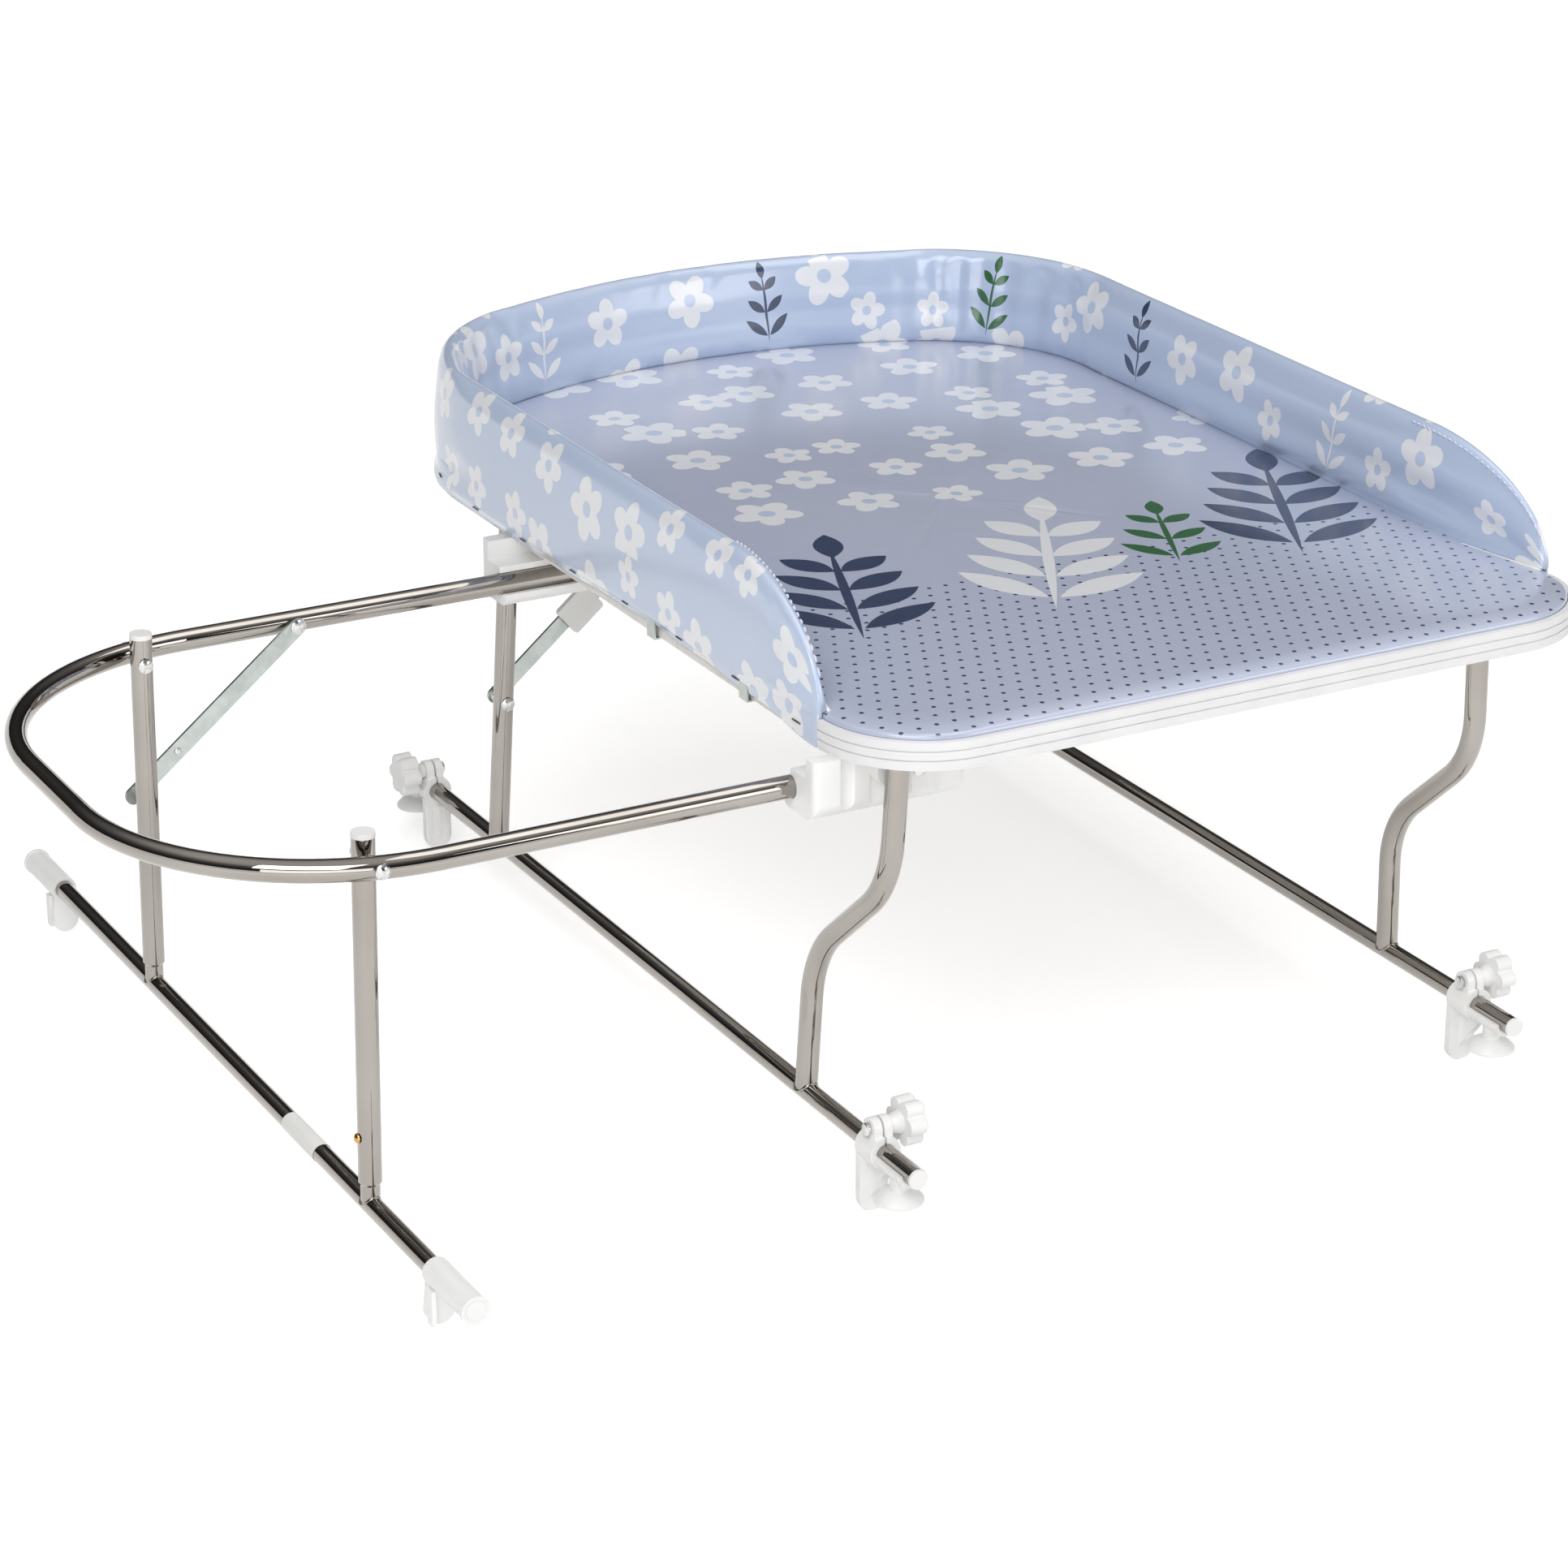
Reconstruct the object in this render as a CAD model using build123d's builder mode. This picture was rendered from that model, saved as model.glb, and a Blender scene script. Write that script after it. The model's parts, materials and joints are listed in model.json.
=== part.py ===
from build123d import *

import os
from math import atan2, cos, degrees, hypot, radians, sin, tan

# Changing table that stands on the rim of a bath. A padded top rides on two folding leg frames,
# and a U-shaped tube that holds a baby tub slides in two guides under the top.
# +X runs from the tub ring to the top, +Y from the near side to the far side, +Z is up.
# All sizes are in millimetres.

os.makedirs("parts", exist_ok=True)

# Tubes
ring_d = 16.0
leg_d = 16.0
cross_d = 14.0
tube_wall = 1.5

# Clearances
pin_gap = 0.05
collar_gap = 0.1
slide_gap = 0.3
layer_gap = 0.3

# Heights, counted from the axis of the cross tubes
tab_drop = 50.0
ring_rise = 250.0
hinge_rise = 266.0
board_gap = 11.0

# Tub ring
ring_half = 227.0
ring_overhang = 131.0
ring_bend = 178.0
ring_tail = 249.0

# Front frame
post_half = 198.0
post_over_near = 13.0
post_over_far = 19.0
front_lean = 1.0
neck_d = 13.4
neck_rise = 15.0
neck_step = 2.0
front_near_reach = 361.0
front_far_reach = 451.0
cap_wall = 2.75
cap_length = 62.0
cap_end = 3.0
cap_ring = 1.6
cap_ring_deep = 0.6
cap_tab_drop = 35.5
cap_tab_width = 20.0
cap_tab_thick = 7.0
post_cap_thick = 3.5
rivet_d = 6.0
rivet_head_d = 11.0
rivet_head_thick = 3.0
button_rise = 50.0

# Front stay
stay_width = 13.0
stay_thick = 2.5
stay_reach = 131.0
stay_latch_drop = 104.0
stay_overlap = 12.0
stay_inset = 6.0
latch_d = 5.0
latch_room = 0.8
front_fold = 80.0
stay_lift = 33.0

# Leg frames
middle_pitch = 335.0
rear_pitch = 495.0
middle_lean = 3.5
rear_lean = -1.3
leg_top_over = 7.0
s_leg_top_y = -280.0
s_leg_foot_y = -186.0
s_bend_high = 188.0
s_bend_low = 104.0
s_bend_radius = 75.0
far_leg_y = 319.0
cross_near_reach = 340.0
cross_far_reach = 500.0
plug_thick = 2.5
bolt_d = 8.0

# Folding stays of the leg frames
fold_pin_rise = 117.0
fold_pin_d = 6.0
anchor_reach = 173.0
anchor_drop = 4.0
lower_strip = 100.0
sleeve_length = 32.0
sleeve_width = 26.0
sleeve_shift = 5.0
sleeve_wall = 2.0
anchor_ear = 3.0

# Rim clamps
clamp_setback = 53.0
collar_half = 11.0
collar_r = 12.0
ear_r = 8.0
ear_rise = 15.5
ear_half = 7.0
ear_slit = 1.6
tab_half = 11.0
tab_thick = 6.0
tab_rib = 2.0
cradle_length = 35.0
cradle_r = 10.5
cup_offset = 29.0
cup_r = 17.5
cup_drop = 26.5
cup_hollow = 6.0
cup_neck_r = 6.5
cup_neck_top = 13.0
screw_d = 6.0
screw_head_d = 9.5
screw_head_thick = 3.5
knob_stem = 9.0
knob_stem_r = 5.5
knob_neck_r = 8.5
knob_r = 17.5
knob_lobe_r = 6.0
knob_thick = 14.0
knob_lobes = 6

# Guides and hinge blocks
guide_lead = 35.0
guide_length = 116.0
guide_out = 33.0
guide_in = 10.0
guide_under = 16.0
guide_round = 12.0
guide_toe = 8.0
guide_corner = 5.0
guide_lip = 6.0
guide_shelf = 21.0
guide_ledge = 13.0
guide_groove_r = 9.0
guide_groove_out = 7.2
guide_grooves = 4
guide_pitch = 22.0
hinge_block_depth = 30.0
hinge_block_length = 62.0
hinge_boss_r = 10.0
guide_screw_d = 10.0
guide_screw_drop = 18.0

# Top
board_lead = 15.0
board_width = 596.0
board_near = 310.0
board_side = 441.0
board_back = 543.0
near_corner = 75.0
back_corner = 170.0
board_thick = 18.0
pad_thick = 6.0
pad_round = 2.5
edging_thick = 4.0
edging_over = 2.0
edging_groove = 1.0
skirt_gap = 0.3
skirt_thick = 3.0

# Padded rim
rim_thick = 28.0
rim_height = 80.0
rim_belly = 2.5
rim_crown = 11.0
rim_inset = 2.5
rim_tip = 7.0
rim_end = 140.0
clip_width = 12.0
clip_thick = 1.2
clip_height = 13.0
clip_lip = 14.0
clip_places = (8.0, -131.0)

# Places that follow from the sizes above
rim_out = skirt_gap + skirt_thick
x_low = -(ring_overhang + ring_d / 2)
x_high = middle_pitch - board_lead + board_width + rim_out + rim_belly
y_low = -(front_near_reach + cap_end)
y_high = board_back + rim_out + rim_belly
front_x = -(x_low + x_high) / 2
centre_y = -(y_low + y_high) / 2
tube_z = tab_drop
ring_z = tube_z + ring_rise
hinge_z = tube_z + hinge_rise
board_bottom = hinge_z + board_gap
board_top = board_bottom + board_thick
pad_top = board_top + pad_thick
middle_x = front_x + middle_pitch
rear_x = middle_x + rear_pitch
middle_hinge_x = middle_x + hinge_rise * tan(radians(middle_lean))
rear_hinge_x = rear_x + hinge_rise * tan(radians(rear_lean))
ring_tip_x = front_x - ring_overhang
guide_x = middle_x - guide_lead
ring_rear_x = guide_x + guide_length + ring_tail
rivet_x = front_x + ring_rise * tan(radians(front_lean))
left_x = middle_x - board_lead
right_x = left_x + board_width
board_mid_x = (left_x + right_x) / 2
near_y = centre_y - board_near
side_y = centre_y + board_side
back_y = centre_y + board_back
rim_front_y = near_y + near_corner
near_leg_y = centre_y + s_leg_top_y
near_foot_y = centre_y + s_leg_foot_y
far_y = centre_y + far_leg_y
cross_near_y = centre_y - cross_near_reach
cross_far_y = centre_y + cross_far_reach
near_clamp_y = cross_near_y + clamp_setback
far_clamp_y = cross_far_y - clamp_setback

# Half width of the ring where the front posts stand, on its bend
bend_x = ring_tip_x + ring_bend
bend_y = ring_half - ring_bend
post_dx = max(0.0, bend_x - rivet_x)
ring_at_post = bend_y + (ring_bend**2 - post_dx**2) ** 0.5

# Layers of the folding stays, outward from the far legs
sleeve_y = far_y + leg_d / 2 + layer_gap
upper_y = sleeve_y + sleeve_wall + layer_gap
lower_y = upper_y + stay_thick + 2 * layer_gap


def side_plane(y):
    """Upright plane across Y whose sketch reads X to the right and Z up; extrusions go towards -Y."""
    return Plane.XZ.offset(-y)


def finish(piece, name):
    """Label a finished piece and write it to its file."""
    piece.part.label = name
    export_step(piece.part, "parts/" + name + ".step")


def table_outline(grow, height):
    """D-shaped outline of the top on a level plane, grown outward by a set amount."""
    with BuildSketch(Plane.XY.offset(height)) as outline:
        with BuildLine():
            Polyline((left_x, side_y), (left_x, near_y), (right_x, near_y), (right_x, side_y))
            ThreePointArc((right_x, side_y), (board_mid_x, back_y), (left_x, side_y))
        make_face()
        fillet(outline.vertices().group_by(Axis.Y)[0], near_corner)
        fillet(outline.vertices().filter_by(lambda v: abs(v.Y - side_y) < 0.01), back_corner)
        if grow != 0:
            offset(amount=grow)
    return outline.sketch


def y_rod(x, z, y_from, y_to, radius):
    """Round rod along Y, to add or to cut."""
    with BuildPart() as rod:
        with BuildSketch(side_plane(y_to)):
            with Locations((x, z)):
                Circle(radius)
        extrude(amount=y_to - y_from)
    return rod.part


def cross_tube(x, y_from, y_to):
    """Hollow cross tube along Y."""
    with BuildPart() as tube:
        with BuildSketch(side_plane(y_to)):
            with Locations((x, tube_z)):
                Circle(cross_d / 2)
                Circle(cross_d / 2 - tube_wall, mode=Mode.SUBTRACT)
        extrude(amount=y_to - y_from)
    return tube


def cap_middle(base, rise):
    """Middle of the arc of a spherical cap: its distance from the axis and its height over the base."""
    ball = (base**2 + rise**2) / (2 * rise)
    spread = atan2(base, ball - rise) / 2
    return ball * sin(spread), ball * cos(spread) - (ball - rise)


def domed_head(x, z, y_seat, outward, head_d, head_thick):
    """Domed head of a rivet or bolt, its flat seat at y_seat and its dome outward."""
    edge = head_thick * 0.35
    across, rise = cap_middle(head_d / 2, head_thick - edge)
    with BuildPart() as head:
        with BuildSketch(Plane(origin=(x, y_seat, z), x_dir=(1, 0, 0), z_dir=(0, 0, 1))):
            with BuildLine():
                Line((0, 0), (head_d / 2, 0))
                Line((head_d / 2, 0), (head_d / 2, outward * edge))
                ThreePointArc(
                    (head_d / 2, outward * edge),
                    (across, outward * (edge + rise)),
                    (0, outward * head_thick),
                )
                Line((0, outward * head_thick), (0, 0))
            make_face()
        revolve(axis=Axis((x, y_seat, z), (0, -1, 0)))
    return head.part


# Tub ring: one bent tube, with a rivet hole on each side for the posts and one for the front stay
def ring_sweep(radius):
    """Round bar along the ring's path."""
    with BuildPart() as bar:
        with BuildLine(Plane.XY.offset(ring_z)) as path:
            FilletPolyline(
                (ring_rear_x, centre_y - ring_half),
                (ring_tip_x, centre_y - ring_half),
                (ring_tip_x, centre_y + ring_half),
                (ring_rear_x, centre_y + ring_half),
                radius=ring_bend,
            )
        with BuildSketch(Plane(path.line @ 0, z_dir=path.line % 0)):
            Circle(radius)
        sweep()
    return bar.part


ring_bar = ring_sweep(ring_d / 2)
stay_x = front_x + stay_reach
with BuildPart() as ring_tube:
    add(ring_bar)
    add(ring_sweep(ring_d / 2 - tube_wall), mode=Mode.SUBTRACT)
    ring_out = ring_half + ring_d
    ring_hole = rivet_d / 2 + pin_gap
    add(y_rod(rivet_x, ring_z, centre_y - ring_out, centre_y + ring_out, ring_hole), mode=Mode.SUBTRACT)
    add(y_rod(stay_x, ring_z, centre_y, centre_y + ring_half, ring_hole), mode=Mode.SUBTRACT)
finish(ring_tube, "ring_tube")

# The ring's rivets: a domed head seated on the bent tube and a shank that carries the post
post_inner = post_half - leg_d / 2
post_outer = post_half + leg_d / 2
rivet_in = post_inner - layer_gap
rivet_seat = ring_at_post + ring_d / 2 - 1.0
with BuildPart() as ring_rivets:
    for side in (-1, 1):
        seat_y = centre_y + side * rivet_seat
        add(domed_head(rivet_x, ring_z, seat_y, side, rivet_head_d, rivet_head_thick + 1.0))
    add(ring_bar, mode=Mode.SUBTRACT)
    for side in (-1, 1):
        ends = sorted((centre_y + side * rivet_in, centre_y + side * (rivet_seat + 1.0)))
        add(y_rod(rivet_x, ring_z, ends[0], ends[1], rivet_d / 2))
        inner_seat = centre_y + side * rivet_in
        add(domed_head(rivet_x, ring_z, inner_seat, -side, rivet_head_d, rivet_head_thick))
finish(ring_rivets, "ring_rivets")

# Front frame: two posts on one cross tube, each hung on a ring rivet
front_cross_tube = cross_tube(front_x, centre_y - front_near_reach, centre_y + front_far_reach)
finish(front_cross_tube, "front_cross_tube")
latch_rise = ring_rise - stay_latch_drop
latch_z = tube_z + latch_rise
latch_x = front_x + latch_rise * tan(radians(front_lean))


def leg_plane(foot_x, lean):
    """Plane of a frame: its sketch reads Y to the right and runs up the leaning legs."""
    tilt = radians(lean)
    return Plane(origin=(foot_x, 0, tube_z), x_dir=(0, 1, 0), z_dir=(cos(tilt), 0, -sin(tilt)))


def bent_leg(foot_x, lean, points, bend):
    """Tube along a path in its frame's plane, saddled on the cross tube."""
    with BuildPart() as leg:
        with BuildLine(leg_plane(foot_x, lean)) as path:
            if bend > 0:
                FilletPolyline(*points, radius=bend)
            else:
                Polyline(*points)
        with BuildSketch(Plane(path.line @ 0, x_dir=(0, 1, 0), z_dir=path.line % 0)):
            Circle(leg_d / 2)
            Circle(leg_d / 2 - tube_wall, mode=Mode.SUBTRACT)
        sweep()
        foot_y = points[0][0]
        half = leg_d / 2 + 1
        add(y_rod(foot_x, tube_z, foot_y - half, foot_y + half, cross_d / 2), mode=Mode.SUBTRACT)
    return leg.part


def front_post(side, over):
    """Upright post with a drawn-in lower end, drilled for its rivet and its latch pin or small button."""
    post_y = centre_y + side * post_half
    half = leg_d / 2 + 1
    post_r = leg_d / 2
    neck_r = neck_d / 2
    neck_top = neck_rise + neck_step
    across = leg_plane(front_x, front_lean).z_dir
    foot = Plane(origin=(front_x, post_y, tube_z), x_dir=(0, 1, 0), z_dir=across)
    with BuildPart() as post:
        add(bent_leg(front_x, front_lean, ((post_y, neck_top + tube_wall), (post_y, ring_rise + over)), 0))
        with BuildSketch(foot):
            with BuildLine():
                Polyline(
                    (neck_r - tube_wall, 2),
                    (neck_r, 2),
                    (neck_r, neck_rise),
                    (post_r, neck_top),
                    (post_r, neck_top + tube_wall),
                    (post_r - tube_wall, neck_top + tube_wall),
                    (neck_r - tube_wall, neck_rise + tube_wall),
                    close=True,
                )
            make_face()
        revolve(axis=Axis(foot.origin, foot.y_dir))
        add(y_rod(front_x, tube_z, post_y - half, post_y + half, cross_d / 2), mode=Mode.SUBTRACT)
        hole = rivet_d / 2 + pin_gap
        add(y_rod(rivet_x, ring_z, post_y - half, post_y + half, hole), mode=Mode.SUBTRACT)
        if side > 0:
            hole = latch_d / 2 + pin_gap
            add(y_rod(latch_x, latch_z, post_y, post_y + half, hole), mode=Mode.SUBTRACT)
        else:
            with BuildSketch(Plane.YZ.offset(front_x - leg_d)):
                with Locations((post_y, tube_z + button_rise)):
                    Circle(2.5 + pin_gap)
            extrude(amount=leg_d, mode=Mode.SUBTRACT)
    return post


front_post_near = front_post(-1, post_over_near)
finish(front_post_near, "front_post_near")
front_post_far = front_post(1, post_over_far)
finish(front_post_far, "front_post_far")

with BuildPart() as post_caps:
    for side, over in ((-1, post_over_near), (1, post_over_far)):
        tilt = radians(front_lean)
        up = (sin(tilt), 0, cos(tilt))
        reach = ring_rise + over
        top = (front_x + reach * up[0], centre_y + side * post_half, tube_z + reach * up[2])
        with BuildSketch(Plane(origin=top, x_dir=(0, 1, 0), z_dir=up)):
            Circle(leg_d / 2 + 0.3)
        extrude(amount=post_cap_thick, taper=6)
        with BuildSketch(Plane(origin=top, x_dir=(0, 1, 0), z_dir=up)):
            Circle(leg_d / 2 - tube_wall - pin_gap)
        extrude(amount=-(post_over_near - rivet_d))
finish(post_caps, "post_caps")


def foot_cap(side, reach):
    """Sleeve over the end of the front tube with a closed end and a rounded tab hanging inside the rim."""
    end_y = centre_y + side * reach
    sleeve_r = cross_d / 2 + cap_wall
    with BuildPart() as cap:
        ends = sorted((end_y + side * cap_end, end_y - side * (cap_length - cap_end)))
        add(y_rod(front_x, tube_z, ends[0], ends[1], sleeve_r))
        rim = sorted((end_y + side * cap_end, end_y + side * (cap_end - 2.5)))
        add(y_rod(front_x, tube_z, rim[0], rim[1], sleeve_r + 0.6))
        face_y = max(end_y + side * cap_end, end_y + side * (cap_end - cap_ring_deep))
        with BuildSketch(side_plane(face_y)):
            with Locations((front_x, tube_z)):
                Circle(sleeve_r - cap_ring)
                Circle(sleeve_r - 2 * cap_ring, mode=Mode.SUBTRACT)
        extrude(amount=cap_ring_deep, mode=Mode.SUBTRACT)
        tab_in = end_y - side * (cap_length - cap_end)
        tab_y = max(tab_in, tab_in + side * cap_tab_thick)
        half = cap_tab_width / 2
        with BuildSketch(side_plane(tab_y)):
            with BuildLine():
                Polyline(
                    (front_x - half, tube_z - cap_tab_drop + half),
                    (front_x - sleeve_r * 0.8, tube_z - sleeve_r * 0.5),
                    (front_x + sleeve_r * 0.8, tube_z - sleeve_r * 0.5),
                    (front_x + half, tube_z - cap_tab_drop + half),
                )
                ThreePointArc(
                    (front_x + half, tube_z - cap_tab_drop + half),
                    (front_x, tube_z - cap_tab_drop),
                    (front_x - half, tube_z - cap_tab_drop + half),
                )
            make_face()
        extrude(amount=cap_tab_thick)
        rib_y = max(tab_in + side * cap_tab_thick, tab_in + side * (cap_tab_thick + 8))
        with BuildSketch(side_plane(rib_y)):
            with Locations((front_x - half + 1.5, tube_z - cap_tab_drop / 2 - 2)):
                Rectangle(3, cap_tab_drop - 2 * half + 10)
        extrude(amount=8)
        bore = sorted((end_y, end_y - side * cap_length))
        add(y_rod(front_x, tube_z, bore[0], bore[1], cross_d / 2 + pin_gap), mode=Mode.SUBTRACT)
    return cap


foot_cap_near = foot_cap(-1, front_near_reach)
finish(foot_cap_near, "foot_cap_near")
foot_cap_far = foot_cap(1, front_far_reach)
finish(foot_cap_far, "foot_cap_far")

with BuildPart() as post_button:
    button_x = front_x + button_rise * tan(radians(front_lean)) - leg_d / 2
    button_at = (button_x, centre_y - post_half, tube_z + button_rise)
    with BuildSketch(Plane(origin=button_at, x_dir=(-1, 0, 0), z_dir=(0, 1, 0))):
        with BuildLine():
            Polyline((-tube_wall, 0), (-tube_wall, 2.5), (0.4, 2.5), (0.4, 3.6))
            across, rise = cap_middle(3.6, 2.6)
            ThreePointArc((0.4, 3.6), (0.4 + rise, across), (3.0, 0))
            Line((3.0, 0), (-tube_wall, 0))
        make_face()
    revolve(axis=Axis(button_at, (-1, 0, 0)))
finish(post_button, "post_button")

# Front stay: a flat strip hung on the ring, its hook over a pin on the far post
stay_out = centre_y + ring_half - ring_d / 2 - stay_inset + stay_thick
stay_in = stay_out - stay_thick
stay_run = stay_x - latch_x
stay_slope = atan2(stay_latch_drop, stay_run)
stay_length = hypot(stay_latch_drop, stay_run) + stay_overlap
stay_ratio = stay_lift / front_fold
leave_x = stay_latch_drop * (1 + stay_ratio)
leave_z = latch_x - rivet_x - stay_run * stay_ratio
leave_angle = degrees(atan2(leave_z, leave_x))
hook_room = latch_d + 2 * latch_room
with BuildPart() as front_brace:
    with BuildSketch(side_plane(stay_out)):
        middle = (
            stay_x - cos(stay_slope) * (stay_length - stay_width / 2) / 2,
            ring_z - sin(stay_slope) * (stay_length - stay_width / 2) / 2,
        )
        with Locations(middle):
            SlotCenterToCenter(stay_length - stay_width / 2, stay_width, rotation=degrees(stay_slope))
        with Locations((stay_x, ring_z)):
            Circle(rivet_d / 2 + pin_gap, mode=Mode.SUBTRACT)
        with Locations((latch_x, latch_z)):
            Circle(hook_room / 2, mode=Mode.SUBTRACT)
        with Locations(
            (
                latch_x + cos(radians(leave_angle)) * stay_width,
                latch_z + sin(radians(leave_angle)) * stay_width,
            )
        ):
            Rectangle(2 * stay_width, hook_room, rotation=leave_angle, mode=Mode.SUBTRACT)
    extrude(amount=stay_thick)
finish(front_brace, "front_brace")

with BuildPart() as brace_rivet:
    rivet_far = centre_y + ring_half - ring_d / 2 + tube_wall
    add(y_rod(stay_x, ring_z, stay_in - layer_gap, rivet_far, rivet_d / 2))
    add(domed_head(stay_x, ring_z, stay_in - layer_gap, -1, rivet_head_d, rivet_head_thick - 1))
    spacer_end = centre_y + ring_half - ring_d / 2 - 0.6
    add(y_rod(stay_x, ring_z, stay_out + layer_gap, spacer_end, rivet_d / 2 + 1.5))
finish(brace_rivet, "brace_rivet")

with BuildPart() as latch_pin:
    add(y_rod(latch_x, latch_z, centre_y + post_outer - tube_wall, stay_out + layer_gap, latch_d / 2))
    add(y_rod(latch_x, latch_z, centre_y + post_outer + 0.6, stay_in - layer_gap, latch_d / 2 + 1.5))
    add(domed_head(latch_x, latch_z, stay_out + layer_gap, 1, latch_d + 4, 1.8))
finish(latch_pin, "latch_pin")


# Leg frames: an S-shaped near leg and a straight far leg on a cross tube
def s_leg(foot_x, lean, hinge_x):
    """Near leg, bent in an S so that the foot stands inside the rim, drilled inside for its hinge pin."""
    top = hinge_rise / cos(radians(lean)) + leg_top_over
    points = (
        (near_foot_y, 2),
        (near_foot_y, s_bend_low),
        (near_leg_y, s_bend_high),
        (near_leg_y, top),
    )
    with BuildPart() as leg:
        add(bent_leg(foot_x, lean, points, s_bend_radius))
        hole = bolt_d / 2 + pin_gap
        add(y_rod(hinge_x, hinge_z, near_leg_y, near_leg_y + leg_d, hole), mode=Mode.SUBTRACT)
    return leg


def fold_point(foot_x, lean):
    """Where the folding stay is pinned to the far leg."""
    return foot_x + fold_pin_rise * tan(radians(lean)), tube_z + fold_pin_rise


def straight_leg(foot_x, lean, hinge_x):
    """Far leg, straight, drilled for its hinge pin and for the pin of its folding stay."""
    top = hinge_rise / cos(radians(lean)) + leg_top_over
    pin_x, pin_z = fold_point(foot_x, lean)
    with BuildPart() as leg:
        add(bent_leg(foot_x, lean, ((far_y, 2), (far_y, top)), 0))
        hole = bolt_d / 2 + pin_gap
        add(y_rod(hinge_x, hinge_z, far_y - leg_d, far_y, hole), mode=Mode.SUBTRACT)
        hole = fold_pin_d / 2 + pin_gap
        add(y_rod(pin_x, pin_z, far_y - leg_d, far_y + leg_d, hole), mode=Mode.SUBTRACT)
    return leg


def end_plugs(x):
    """Plugs in both ends of a cross tube."""
    with BuildPart() as plugs:
        for end_y, outward in ((cross_near_y, -1), (cross_far_y, 1)):
            face = sorted((end_y, end_y + outward * plug_thick))
            add(y_rod(x, tube_z, face[0], face[1], cross_d / 2))
            stem = sorted((end_y, end_y - outward * 12))
            add(y_rod(x, tube_z, stem[0], stem[1], cross_d / 2 - tube_wall - pin_gap))
    return plugs


def hinge_bolts(hinge_x):
    """Two pins that the legs of one frame turn on, each held in its block under the top."""
    with BuildPart() as bolts:
        for leg_y, outward in ((near_leg_y, -1), (far_y, 1)):
            bore_r = leg_d / 2 - tube_wall
            tip = leg_y + outward * ((bore_r**2 - (bolt_d / 2) ** 2) ** 0.5 - layer_gap)
            shank = sorted((tip, leg_y - outward * (leg_d / 2 + hinge_block_depth)))
            add(y_rod(hinge_x, hinge_z, shank[0], shank[1], bolt_d / 2))
    return bolts


def flat_strip(x_from, z_from, x_to, z_to, y_from, holes):
    """Flat strip with rounded ends between two pivots."""
    length = hypot(x_to - x_from, z_to - z_from)
    angle = degrees(atan2(z_to - z_from, x_to - x_from))
    with BuildPart() as strip:
        with BuildSketch(side_plane(y_from + stay_thick)):
            with Locations(((x_from + x_to) / 2, (z_from + z_to) / 2)):
                SlotCenterToCenter(length, stay_width, rotation=angle)
            with Locations(*holes):
                Circle(fold_pin_d / 2 + pin_gap, mode=Mode.SUBTRACT)
        extrude(amount=stay_thick)
    return strip


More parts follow.
